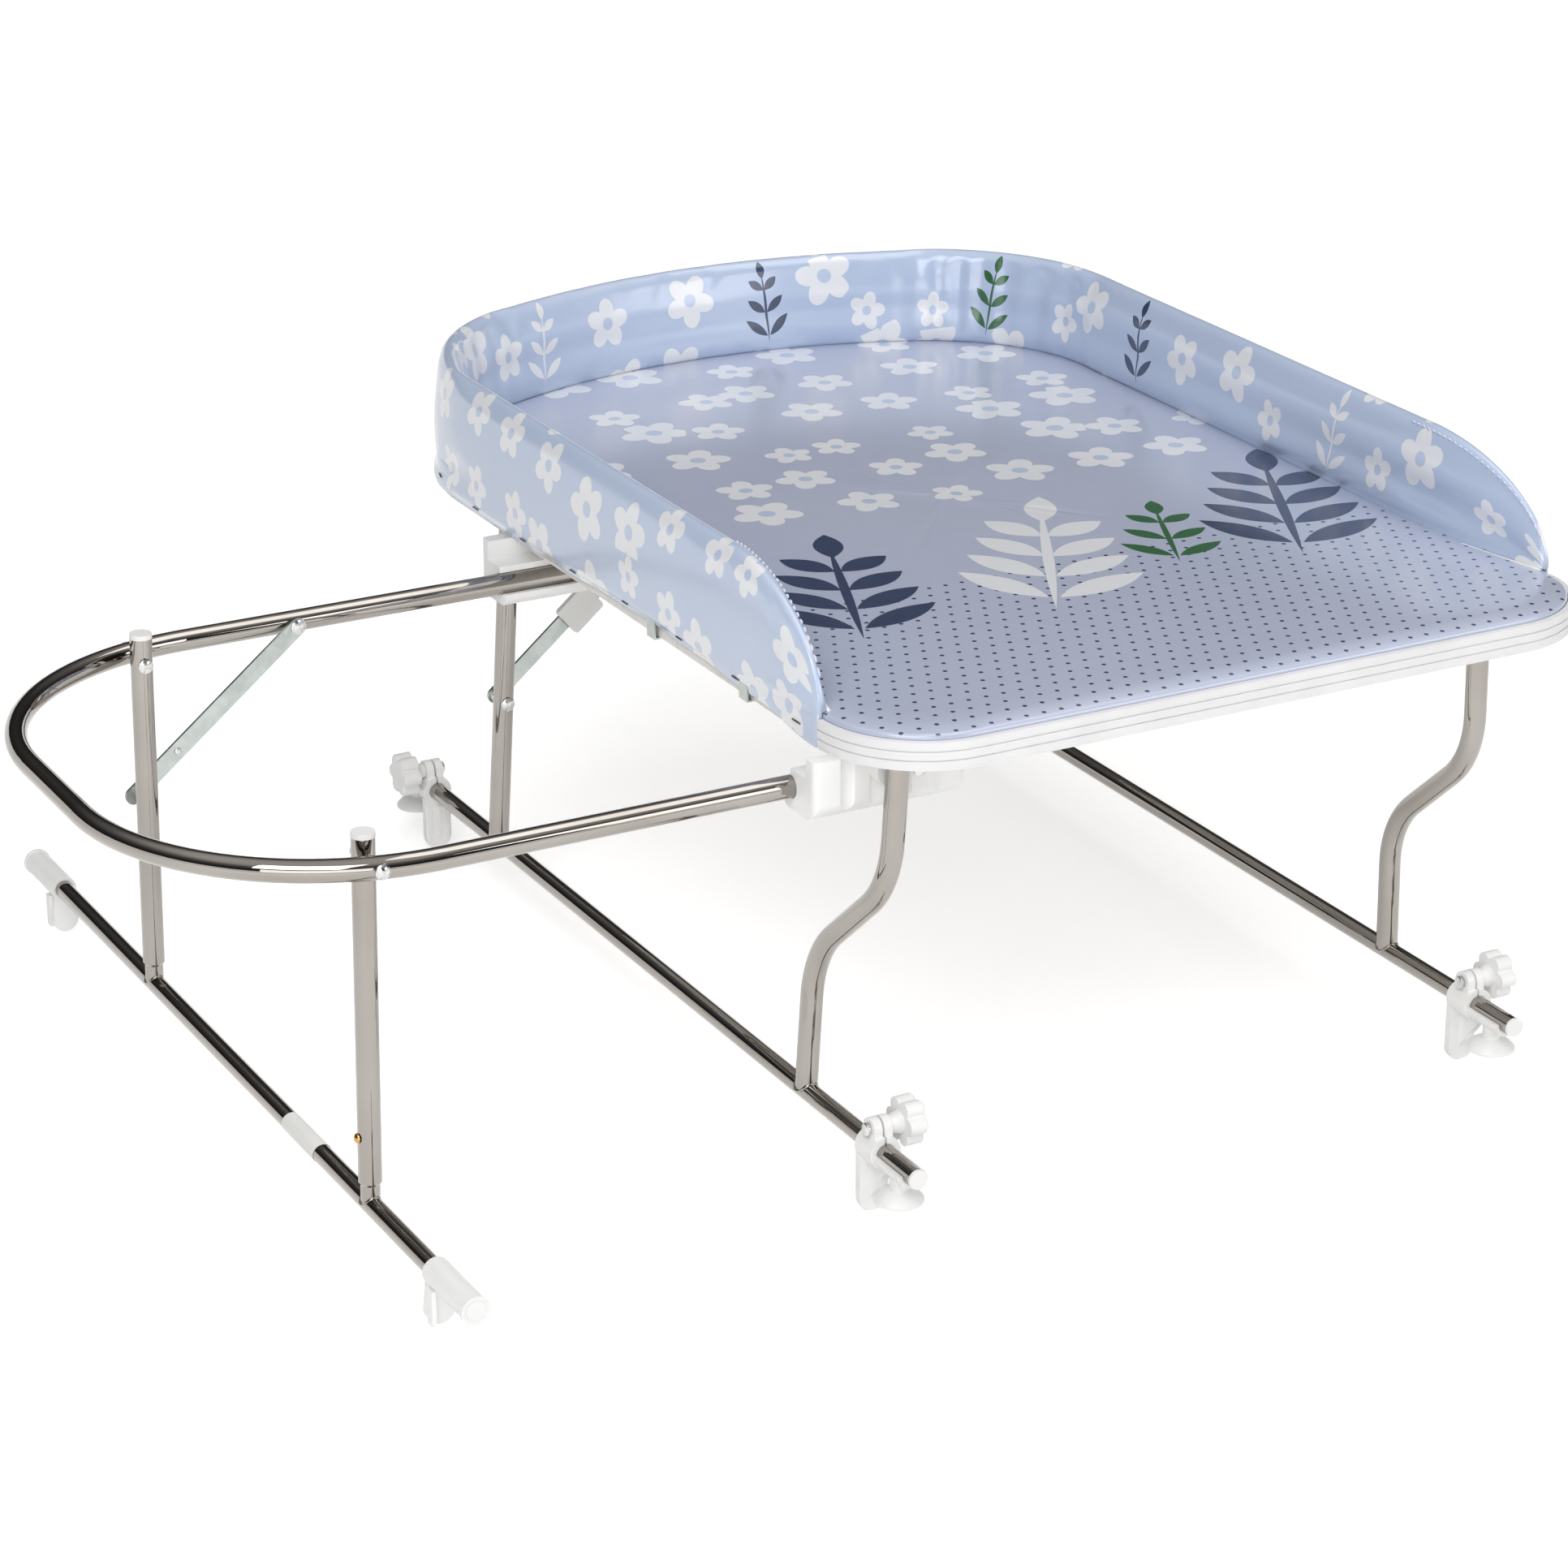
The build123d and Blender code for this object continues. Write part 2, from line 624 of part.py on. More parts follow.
def folding_stay(foot_x, lean, hinge_x, turn):
    """Two strips, their pins, the lock sleeve over their joint and the anchor under the top.

    turn is +1 where the frame folds towards +X and -1 where it folds towards -X."""
    pin_x, pin_z = fold_point(foot_x, lean)
    anchor_x = pin_x + turn * anchor_reach
    anchor_z = hinge_z - anchor_drop
    whole = hypot(anchor_x - pin_x, anchor_z - pin_z)
    along_x = (anchor_x - pin_x) / whole
    along_z = (anchor_z - pin_z) / whole
    joint_x = pin_x + along_x * lower_strip
    joint_z = pin_z + along_z * lower_strip
    lower = flat_strip(pin_x, pin_z, joint_x, joint_z, lower_y, ((pin_x, pin_z),))
    upper = flat_strip(joint_x, joint_z, anchor_x, anchor_z, upper_y, ((anchor_x, anchor_z),))

    with BuildPart() as pin:
        button_y = far_y - leg_d / 2 - layer_gap
        lower_out = lower_y + stay_thick + layer_gap
        add(y_rod(pin_x, pin_z, button_y, lower_out, fold_pin_d / 2))
        add(domed_head(pin_x, pin_z, button_y, -1, fold_pin_d + 5, 3.0))
        add(y_rod(pin_x, pin_z, far_y + leg_d / 2 + layer_gap, lower_y - layer_gap, fold_pin_d / 2 + 2))
        add(domed_head(pin_x, pin_z, lower_out, 1, fold_pin_d + 5, 2.0))

    angle = degrees(atan2(along_z, along_x))
    sleeve_x = joint_x - along_x * sleeve_shift
    sleeve_z = joint_z - along_z * sleeve_shift
    with BuildPart() as sleeve:
        with BuildSketch(side_plane(upper_y + stay_thick + layer_gap / 2)) as outer:
            with Locations((sleeve_x, sleeve_z)):
                Rectangle(sleeve_length, sleeve_width, rotation=angle)
            fillet(outer.vertices(), 3)
        extrude(amount=upper_y + stay_thick + layer_gap / 2 - sleeve_y)
        with BuildSketch(side_plane(upper_y + stay_thick + layer_gap)):
            with Locations((sleeve_x, sleeve_z)):
                Rectangle(sleeve_length + 2, stay_width + 2 * layer_gap, rotation=angle)
        extrude(amount=stay_thick + 2 * layer_gap, mode=Mode.SUBTRACT)

    with BuildPart() as anchor:
        ear_out = upper_y - layer_gap
        ear_x = (anchor_x - stay_width / 2, anchor_x + stay_width / 2)
        with BuildSketch(side_plane(ear_out)):
            with BuildLine():
                Polyline(
                    (ear_x[0], anchor_z),
                    (ear_x[0], board_bottom),
                    (ear_x[1], board_bottom),
                    (ear_x[1], anchor_z),
                )
                ThreePointArc(
                    (ear_x[1], anchor_z),
                    (anchor_x, anchor_z - stay_width / 2),
                    (ear_x[0], anchor_z),
                )
            make_face()
        extrude(amount=anchor_ear)
        with BuildSketch(Plane.XY.offset(board_bottom)) as foot:
            with Locations((anchor_x, ear_out - 14)):
                Rectangle(stay_width + 14, 28)
            fillet(foot.vertices(), 4)
            with Locations((anchor_x, ear_out - 18)):
                Circle(2.2, mode=Mode.SUBTRACT)
        extrude(amount=-2.5)
        head_y = upper_y + stay_thick + layer_gap
        add(y_rod(anchor_x, anchor_z, ear_out - anchor_ear, head_y, fold_pin_d / 2))
        add(domed_head(anchor_x, anchor_z, head_y, 1, fold_pin_d + 4, 2.0))
    return lower, upper, pin, sleeve, anchor


for frame, foot_x, lean, hinge_x, turn in (
    ("middle", middle_x, middle_lean, middle_hinge_x, 1),
    ("rear", rear_x, rear_lean, rear_hinge_x, -1),
):
    finish(cross_tube(foot_x, cross_near_y, cross_far_y), frame + "_cross_tube")
    finish(s_leg(foot_x, lean, hinge_x), frame + "_s_leg")
    finish(straight_leg(foot_x, lean, hinge_x), frame + "_straight_leg")
    finish(end_plugs(foot_x), frame + "_end_plugs")
    finish(hinge_bolts(hinge_x), frame + "_hinge_bolts")
    lower, upper, pin, sleeve, anchor = folding_stay(foot_x, lean, hinge_x, turn)
    finish(lower, frame + "_stay_lower")
    finish(upper, frame + "_stay_upper")
    finish(pin, frame + "_stay_pin")
    finish(sleeve, frame + "_lock_sleeve")
    finish(anchor, frame + "_stay_anchor")

# Rim clamp, drawn about the tube's axis with its outer end towards -Y and its knob towards +X
clamp_bore = cross_d / 2 + collar_gap
with BuildPart() as clamp_shape:
    add(y_rod(0, 0, -collar_half, collar_half, collar_r))
    with BuildSketch(Plane.YZ.offset(-ear_half)):
        with Locations((0, ear_rise)):
            Circle(ear_r)
        with Locations((0, ear_rise / 2)):
            Rectangle(2 * ear_r, ear_rise)
    extrude(amount=2 * ear_half)
    add(y_rod(0, 0, -collar_half - cradle_length, 0, cradle_r))
    with BuildSketch(Plane.XY):
        with Locations((0, -collar_half - cradle_length / 2)):
            Rectangle(2 * collar_r, cradle_length)
    extrude(amount=collar_r, mode=Mode.SUBTRACT)
    # Tab that hangs inside the rim, with a rounded foot and upright ribs
    with BuildSketch(side_plane(collar_half)):
        with BuildLine():
            Polyline(
                (-tab_half, -tab_drop + tab_half),
                (-tab_half, -collar_r / 2),
                (tab_half, -collar_r / 2),
                (tab_half, -tab_drop + tab_half),
            )
            ThreePointArc((tab_half, -tab_drop + tab_half), (0, -tab_drop), (-tab_half, -tab_drop + tab_half))
        make_face()
    extrude(amount=tab_thick)
    with BuildSketch(side_plane(collar_half + tab_rib)):
        with GridLocations(0.7 * tab_half, 0, 3, 1):
            with Locations((0, -(tab_drop + collar_r - tab_half) / 2)):
                Rectangle(2.4, tab_drop - tab_half - collar_r)
    extrude(amount=tab_rib)
    # Gusset between the tab and the cradle
    with BuildSketch(Plane.YZ.offset(-3)):
        with BuildLine():
            Polyline(
                (collar_half - tab_thick, -cradle_r + 1),
                (-collar_half - 7, -cradle_r + 1),
                (collar_half - tab_thick, -tab_drop + tab_half),
                close=True,
            )
        make_face()
    extrude(amount=6)
    # Boss for the cup
    with BuildSketch(Plane.XY.offset(-cup_neck_top)):
        with Locations((0, -cup_offset)):
            Circle(cup_neck_r)
    extrude(amount=cup_neck_top - cross_d / 2)
    bore_from = -collar_half - cradle_length - 1
    bore_to = collar_half + tab_rib + 1
    add(y_rod(0, 0, bore_from, bore_to, clamp_bore), mode=Mode.SUBTRACT)
    # Slit that the screw closes
    with BuildSketch(Plane.XY):
        Rectangle(ear_slit, 4 * collar_half)
    extrude(amount=ear_rise + 2 * ear_r, mode=Mode.SUBTRACT)
    with BuildSketch(Plane.YZ.offset(-2 * ear_half)):
        with Locations((0, ear_rise)):
            Circle(screw_d / 2 + pin_gap)
    extrude(amount=4 * ear_half, mode=Mode.SUBTRACT)

with BuildPart() as cup_shape:
    with BuildSketch(Plane(origin=(0, -cup_offset, 0), x_dir=(1, 0, 0), z_dir=(0, -1, 0))):
        with BuildLine():
            Polyline((0, -cup_neck_top), (cup_neck_r, -cup_neck_top), (cup_neck_r, -cup_neck_top - 5))
            ThreePointArc(
                (cup_neck_r, -cup_neck_top - 5),
                (cup_r * 0.58, -cup_drop * 0.72),
                (cup_r, -cup_drop + 1.5),
            )
            Polyline((cup_r, -cup_drop + 1.5), (cup_r, -cup_drop), (cup_r - 3, -cup_drop))
            across, rise = cap_middle(cup_r - 3, cup_hollow)
            ThreePointArc((cup_r - 3, -cup_drop), (across, -cup_drop + rise), (0, -cup_drop + cup_hollow))
            Line((0, -cup_drop + cup_hollow), (0, -cup_neck_top))
        make_face()
    revolve(axis=Axis((0, -cup_offset, 0), (0, 0, -1)))

with BuildPart() as screw_shape:
    with BuildSketch(Plane.YZ.offset(-ear_half)):
        with Locations((0, ear_rise)):
            Circle(screw_d / 2)
    extrude(amount=2 * ear_half + knob_stem + 8)
    with BuildSketch(Plane.YZ.offset(-ear_half - screw_head_thick)):
        with Locations((0, ear_rise)):
            Circle(screw_head_d / 2)
    extrude(amount=screw_head_thick)
    fillet(screw_shape.edges().group_by(Axis.X)[0], 1.2)

with BuildPart() as knob_shape:
    with BuildSketch(Plane.YZ.offset(ear_half + layer_gap)):
        with Locations((0, ear_rise)):
            Circle(knob_stem_r)
    extrude(amount=knob_stem, taper=-degrees(atan2(knob_neck_r - knob_stem_r, knob_stem)))
    with BuildSketch(Plane.YZ.offset(ear_half + layer_gap + knob_stem)):
        with Locations((0, ear_rise)):
            Circle(knob_r - knob_lobe_r * 0.7)
            with PolarLocations(knob_r - knob_lobe_r, knob_lobes):
                Circle(knob_lobe_r)
    extrude(amount=knob_thick)
    chamfer(knob_shape.edges().group_by(Axis.X)[-1], 1.5)
    with BuildSketch(Plane.YZ.offset(ear_half)):
        with Locations((0, ear_rise)):
            Circle(screw_d / 2 + pin_gap)
    extrude(amount=knob_stem + 10, mode=Mode.SUBTRACT)

for corner, tube_x, clamp_y, turn in (
    ("middle_near", middle_x, near_clamp_y, 0),
    ("middle_far", middle_x, far_clamp_y, 180),
    ("rear_near", rear_x, near_clamp_y, 0),
    ("rear_far", rear_x, far_clamp_y, 180),
):
    place = Location((tube_x, clamp_y, tube_z), (0, 0, turn))
    with BuildPart() as clamp_body:
        with Locations(place):
            add(clamp_shape.part)
    finish(clamp_body, corner + "_clamp")
    with BuildPart() as suction_cup:
        with Locations(place):
            add(cup_shape.part)
    finish(suction_cup, corner + "_suction_cup")
    with BuildPart() as clamp_screw:
        with Locations(place):
            add(screw_shape.part)
    finish(clamp_screw, corner + "_clamp_screw")
    with BuildPart() as star_knob:
        with Locations(place):
            add(knob_shape.part)
    finish(star_knob, corner + "_star_knob")


# Guides: J-shaped blocks under the top that the ring slides in, open towards the inside
def guide_profile(side, x):
    """Section of a guide: a wall up to the board, a ledge over the ring and a rounded trough under it."""
    axis_y = centre_y + side * ring_half
    out_y = axis_y + side * guide_out
    in_y = axis_y - side * guide_in
    wall_y = axis_y + side * guide_shelf
    low_z = ring_z - guide_under
    channel_r = ring_d / 2 + slide_gap
    with BuildSketch(Plane.YZ.offset(x)) as section:
        with BuildLine():
            Polyline(
                (wall_y, board_bottom),
                (out_y, board_bottom),
                (out_y, low_z),
                (in_y, low_z),
                (in_y, ring_z + guide_ledge),
                (wall_y, ring_z + guide_ledge),
                close=True,
            )
        make_face()
        low = section.vertices().group_by(Axis.Y)[0]
        fillet(low.sort_by(Axis.X)[0 if side < 0 else -1], guide_round)
        low = section.vertices().group_by(Axis.Y)[0]
        fillet(low.sort_by(Axis.X)[-1 if side < 0 else 0], guide_toe)
        with Locations((axis_y, ring_z)):
            Circle(channel_r, mode=Mode.SUBTRACT)
        mouth = guide_lip + guide_ledge
        with Locations((axis_y - side * guide_in / 2, ring_z - guide_lip + mouth / 2)):
            Rectangle(guide_in, mouth, mode=Mode.SUBTRACT)
    return section.sketch


def guide_bracket(side, leg_y):
    """Guide with a corrugated outer face, rounded ends and a boss for the hinge pin."""
    axis_y = centre_y + side * ring_half
    out_y = axis_y + side * guide_out
    in_y = axis_y - side * guide_in
    tall = board_bottom - ring_z + guide_under
    with BuildPart() as bracket:
        extrude(guide_profile(side, guide_x), amount=guide_length)
        with BuildSketch(Plane.XY.offset(ring_z - guide_under)) as plan:
            with Locations((guide_x + guide_length / 2, (out_y + in_y) / 2)):
                Rectangle(guide_length, guide_out + guide_in)
            fillet(plan.vertices().group_by(Axis.Y)[0 if side < 0 else -1], guide_corner)
        extrude(amount=tall, mode=Mode.INTERSECT)
        with BuildSketch(Plane.XY.offset(ring_z - guide_under - 1)):
            with Locations((guide_x + guide_length / 2, out_y + side * guide_groove_out)):
                with GridLocations(guide_pitch, 0, guide_grooves, 1):
                    Circle(guide_groove_r)
        extrude(amount=tall + 1, mode=Mode.SUBTRACT)
        boss_y = leg_y - side * (leg_d / 2 + layer_gap)
        ends = sorted((boss_y, out_y - side * 6))
        with BuildSketch(side_plane(ends[1])):
            with Locations((middle_hinge_x, hinge_z)):
                Circle(hinge_boss_r)
            with Locations((middle_hinge_x, (hinge_z + board_bottom) / 2)):
                Rectangle(2 * hinge_boss_r, board_bottom - hinge_z)
        extrude(amount=ends[1] - ends[0])
        bolt_in = sorted((leg_y, leg_y - side * (leg_d / 2 + hinge_block_depth + 1)))
        add(y_rod(middle_hinge_x, hinge_z, bolt_in[0], bolt_in[1], bolt_d / 2 + pin_gap), mode=Mode.SUBTRACT)
    return bracket


slide_bracket_near = guide_bracket(-1, near_leg_y)
finish(slide_bracket_near, "slide_bracket_near")
slide_bracket_far = guide_bracket(1, far_y)
finish(slide_bracket_far, "slide_bracket_far")

with BuildPart() as bracket_screws:
    for side in (-1, 1):
        screw_x = guide_x + guide_length / 2 + guide_pitch
        face_y = centre_y + side * (ring_half + guide_out)
        add(domed_head(screw_x, board_bottom - guide_screw_drop, face_y, side, guide_screw_d, 3.0))
finish(bracket_screws, "bracket_screws")


def hinge_block(leg_y, side):
    """Block under the top that carries a rear hinge bolt."""
    face_y = leg_y - side * (leg_d / 2 + layer_gap)
    back = face_y - side * hinge_block_depth
    ends = sorted((face_y, back))
    half = hinge_block_length / 2
    with BuildPart() as block:
        with BuildSketch(side_plane(ends[1])):
            with BuildLine():
                Polyline(
                    (rear_hinge_x - hinge_boss_r, hinge_z),
                    (rear_hinge_x - half, board_bottom - 5),
                    (rear_hinge_x - half, board_bottom),
                    (rear_hinge_x + half, board_bottom),
                    (rear_hinge_x + half, board_bottom - 5),
                    (rear_hinge_x + hinge_boss_r, hinge_z),
                )
                ThreePointArc(
                    (rear_hinge_x + hinge_boss_r, hinge_z),
                    (rear_hinge_x, hinge_z - hinge_boss_r),
                    (rear_hinge_x - hinge_boss_r, hinge_z),
                )
            make_face()
        extrude(amount=ends[1] - ends[0])
        reach = sorted((face_y + side, back - side))
        add(y_rod(rear_hinge_x, hinge_z, reach[0], reach[1], bolt_d / 2 + pin_gap), mode=Mode.SUBTRACT)
    return block


rear_hinge_near = hinge_block(near_leg_y, -1)
finish(rear_hinge_near, "rear_hinge_near")
rear_hinge_far = hinge_block(far_y, 1)
finish(rear_hinge_far, "rear_hinge_far")

# Top: board, edging along the near edge, pad and padded rim
with BuildPart() as table_board:
    extrude(table_outline(0, board_bottom), amount=board_thick)
finish(table_board, "table_board")

with BuildPart() as table_pad:
    extrude(table_outline(0, board_top), amount=pad_thick)
    fillet(table_pad.edges().group_by(Axis.Z)[-1], pad_round)
finish(table_pad, "table_pad")

with BuildPart() as table_edging:
    extrude(table_outline(skirt_gap + edging_thick, board_bottom), amount=board_thick + edging_over)
    for level in (0.36, 0.72):
        groove = table_outline(skirt_gap + edging_thick, board_bottom + board_thick * level)
        extrude(groove, amount=edging_groove, mode=Mode.SUBTRACT)
        core = table_outline(skirt_gap + edging_thick - edging_groove, board_bottom + board_thick * level)
        extrude(core, amount=edging_groove)
    extrude(table_outline(skirt_gap, board_bottom), amount=board_thick + edging_over, mode=Mode.SUBTRACT)
    split(bisect_by=Plane.XZ.offset(-(rim_front_y - layer_gap)), keep=Keep.TOP)
finish(table_edging, "table_edging")

# Padded rim: a crowned section carried round three sides, its near ends rounded off, with a skirt below
rim_mid = rim_out - rim_thick / 2
rim_edges = table_outline(rim_mid, pad_top).edges().filter_by(lambda e: e.center().Y > rim_front_y)
with BuildPart() as bolster:
    with BuildLine() as rim_path:
        add(rim_edges)
    start = rim_path.wires()[0] @ 0
    outward = -1 if start.X < board_mid_x else 1
    half = rim_thick / 2
    shoulder = rim_height - rim_crown
    with BuildSketch(Plane(origin=start, x_dir=(outward, 0, 0), z_dir=(0, -outward, 0))):
        with BuildLine():
            Line((-half, 0), (half, 0))
            ThreePointArc((half, 0), (half + rim_belly, shoulder * 0.5), (half - rim_inset, shoulder))
            ThreePointArc((half - rim_inset, shoulder), (0, rim_height), (-half + rim_inset, shoulder))
            ThreePointArc((-half + rim_inset, shoulder), (-half, shoulder * 0.5), (-half, 0))
        make_face()
    sweep(path=rim_path.wires()[0])
    # The near ends thin out towards the outer side
    for side_x, outward in ((left_x, -1), (right_x, 1)):
        inner_x = side_x + outward * (rim_out - rim_thick)
        tip_x = side_x + outward * (rim_out - rim_tip)
        with BuildSketch(Plane.XY.offset(pad_top)):
            with BuildLine():
                ThreePointArc(
                    (tip_x, rim_front_y),
                    (tip_x + 0.62 * (inner_x - tip_x), rim_front_y + rim_end * 0.3),
                    (inner_x, rim_front_y + rim_end),
                )
                Polyline(
                    (inner_x, rim_front_y + rim_end),
                    (inner_x - outward * rim_thick, rim_front_y + rim_end),
                    (inner_x - outward * rim_thick, rim_front_y - 1),
                    (tip_x, rim_front_y - 1),
                    (tip_x, rim_front_y),
                )
            make_face()
        extrude(amount=2 * rim_height, mode=Mode.SUBTRACT)
    with BuildSketch(Plane.YZ.offset(left_x - 2 * rim_thick)):
        with BuildLine():
            EllipticalCenterArc(
                (rim_front_y + rim_end, pad_top), rim_end, rim_height + 1, start_angle=90, arc_size=90
            )
            Polyline(
                (rim_front_y, pad_top),
                (back_y + rim_thick, pad_top),
                (back_y + rim_thick, pad_top + rim_height + 1),
                (rim_front_y + rim_end, pad_top + rim_height + 1),
            )
        make_face()
    extrude(amount=board_width + 4 * rim_thick, mode=Mode.INTERSECT)
finish(bolster, "bolster")

with BuildPart() as rim_skirt:
    extrude(table_outline(rim_out, board_bottom), amount=pad_top - board_bottom)
    extrude(table_outline(skirt_gap, board_bottom), amount=pad_top - board_bottom, mode=Mode.SUBTRACT)
    split(bisect_by=Plane.XZ.offset(-rim_front_y), keep=Keep.BOTTOM)
finish(rim_skirt, "rim_skirt")

with BuildPart() as bolster_clips:
    for side_x, outward in ((left_x, -1), (right_x, 1)):
        for place in clip_places:
            face_x = side_x + outward * rim_out
            with BuildSketch(Plane.XZ.offset(-(centre_y + place + clip_width / 2))):
                with BuildLine():
                    Polyline(
                        (face_x, board_bottom + clip_height),
                        (face_x + outward * clip_thick, board_bottom + clip_height),
                        (face_x + outward * clip_thick, board_bottom - clip_thick),
                        (face_x - outward * clip_lip, board_bottom - clip_thick),
                        (face_x - outward * clip_lip, board_bottom),
                        (face_x, board_bottom),
                        close=True,
                    )
                make_face()
            extrude(amount=clip_width)
finish(bolster_clips, "bolster_clips")
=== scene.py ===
import json
import math

import bmesh
import bpy
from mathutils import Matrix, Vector


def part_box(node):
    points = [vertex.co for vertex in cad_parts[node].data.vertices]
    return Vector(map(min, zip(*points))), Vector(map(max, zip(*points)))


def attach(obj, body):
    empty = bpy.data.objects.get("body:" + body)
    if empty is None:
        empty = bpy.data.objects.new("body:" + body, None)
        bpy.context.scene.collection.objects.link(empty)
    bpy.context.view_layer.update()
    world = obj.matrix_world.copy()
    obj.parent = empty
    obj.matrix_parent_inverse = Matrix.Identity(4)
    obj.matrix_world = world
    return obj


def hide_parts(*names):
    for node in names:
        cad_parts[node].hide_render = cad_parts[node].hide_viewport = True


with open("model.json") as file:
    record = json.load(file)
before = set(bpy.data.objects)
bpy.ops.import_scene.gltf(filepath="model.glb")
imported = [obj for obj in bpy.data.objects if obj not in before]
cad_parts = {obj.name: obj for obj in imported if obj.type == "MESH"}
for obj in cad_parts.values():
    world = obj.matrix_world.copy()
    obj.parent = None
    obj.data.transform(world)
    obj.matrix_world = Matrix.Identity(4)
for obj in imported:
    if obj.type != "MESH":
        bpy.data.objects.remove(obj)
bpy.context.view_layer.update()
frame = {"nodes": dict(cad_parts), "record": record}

# Places taken from the CAD nodes, in metres
board_low, board_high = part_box("table_board")
pad_low, pad_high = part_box("table_pad")
skirt_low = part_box("rim_skirt")[0]
left_x, right_x = board_low[0], board_high[0]
mid_x = (left_x + right_x) / 2
half_w = (right_x - left_x) / 2
near_y, back_y = board_low[1], board_high[1]
board_z, pad_z = board_low[2], pad_high[2]
rim_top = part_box("bolster")[1][2]
rim_front = skirt_low[1]
rim_out = left_x - skirt_low[0]

# Plan of the top: straight sides, rounded corners and a bowed back
NEAR_R = 0.075
BACK_R = 0.170
BOW_SAG = 0.102
BOW_R = (half_w**2 + BOW_SAG**2) / (2 * BOW_SAG)
bow_y = back_y - BOW_R
corner_x = half_w - BACK_R
turn_y = bow_y + math.sqrt((BOW_R - BACK_R) ** 2 - corner_x**2)
turn_angle = math.atan2(turn_y - bow_y, corner_x)


def straight(start, end, step):
    """Places and outward normals along a straight side, without its end, and its length."""
    size = math.hypot(end[0] - start[0], end[1] - start[1])
    out = -1.0 if start[0] < 0 else 1.0
    count = max(2, round(size / step))
    places = []
    for k in range(count):
        t = k / count
        x = start[0] + (end[0] - start[0]) * t
        y = start[1] + (end[1] - start[1]) * t
        places.append((x, y, out, 0.0))
    return places, size


def curve(centre, radius, first, last, step):
    """Places and outward normals along an arc, without its end, and its length."""
    size = abs(last - first) * radius
    count = max(2, round(size / step))
    places = []
    for k in range(count):
        a = first + (last - first) * k / count
        nx, ny = math.cos(a), math.sin(a)
        places.append((centre[0] + radius * nx, centre[1] + radius * ny, nx, ny))
    return places, size


def rim_line(outset, step):
    """Places, outward normals and lengths along the rim, from its near left end round the back."""
    side = half_w + outset
    left_turn = math.pi - turn_angle
    runs = (
        straight((-side, rim_front), (-side, turn_y), step),
        curve((-corner_x, turn_y), BACK_R + outset, math.pi, left_turn, step),
        curve((0.0, bow_y), BOW_R + outset, left_turn, turn_angle, step),
        curve((corner_x, turn_y), BACK_R + outset, turn_angle, 0.0, step),
        straight((side, turn_y), (side, rim_front), step),
    )
    line = []
    length = 0.0
    for places, size in runs:
        for k, (x, y, nx, ny) in enumerate(places):
            line.append((mid_x + x, y, nx, ny, length + size * k / len(places)))
        length += size
    line.append((mid_x + side, rim_front, 1.0, 0.0, length))
    return line, length


def bell(value, middle, width):
    """Smooth hump of height 1 about a middle."""
    return math.exp(-(((value - middle) / width) ** 2))


# Materials
def set_stops(ramp, stops):
    """Fill a colour ramp with stops of place and colour."""
    while len(ramp.elements) < len(stops):
        ramp.elements.new(0.5)
    for element, (place, color) in zip(ramp.elements, stops):
        element.position = place
        element.color = (*color, 1)


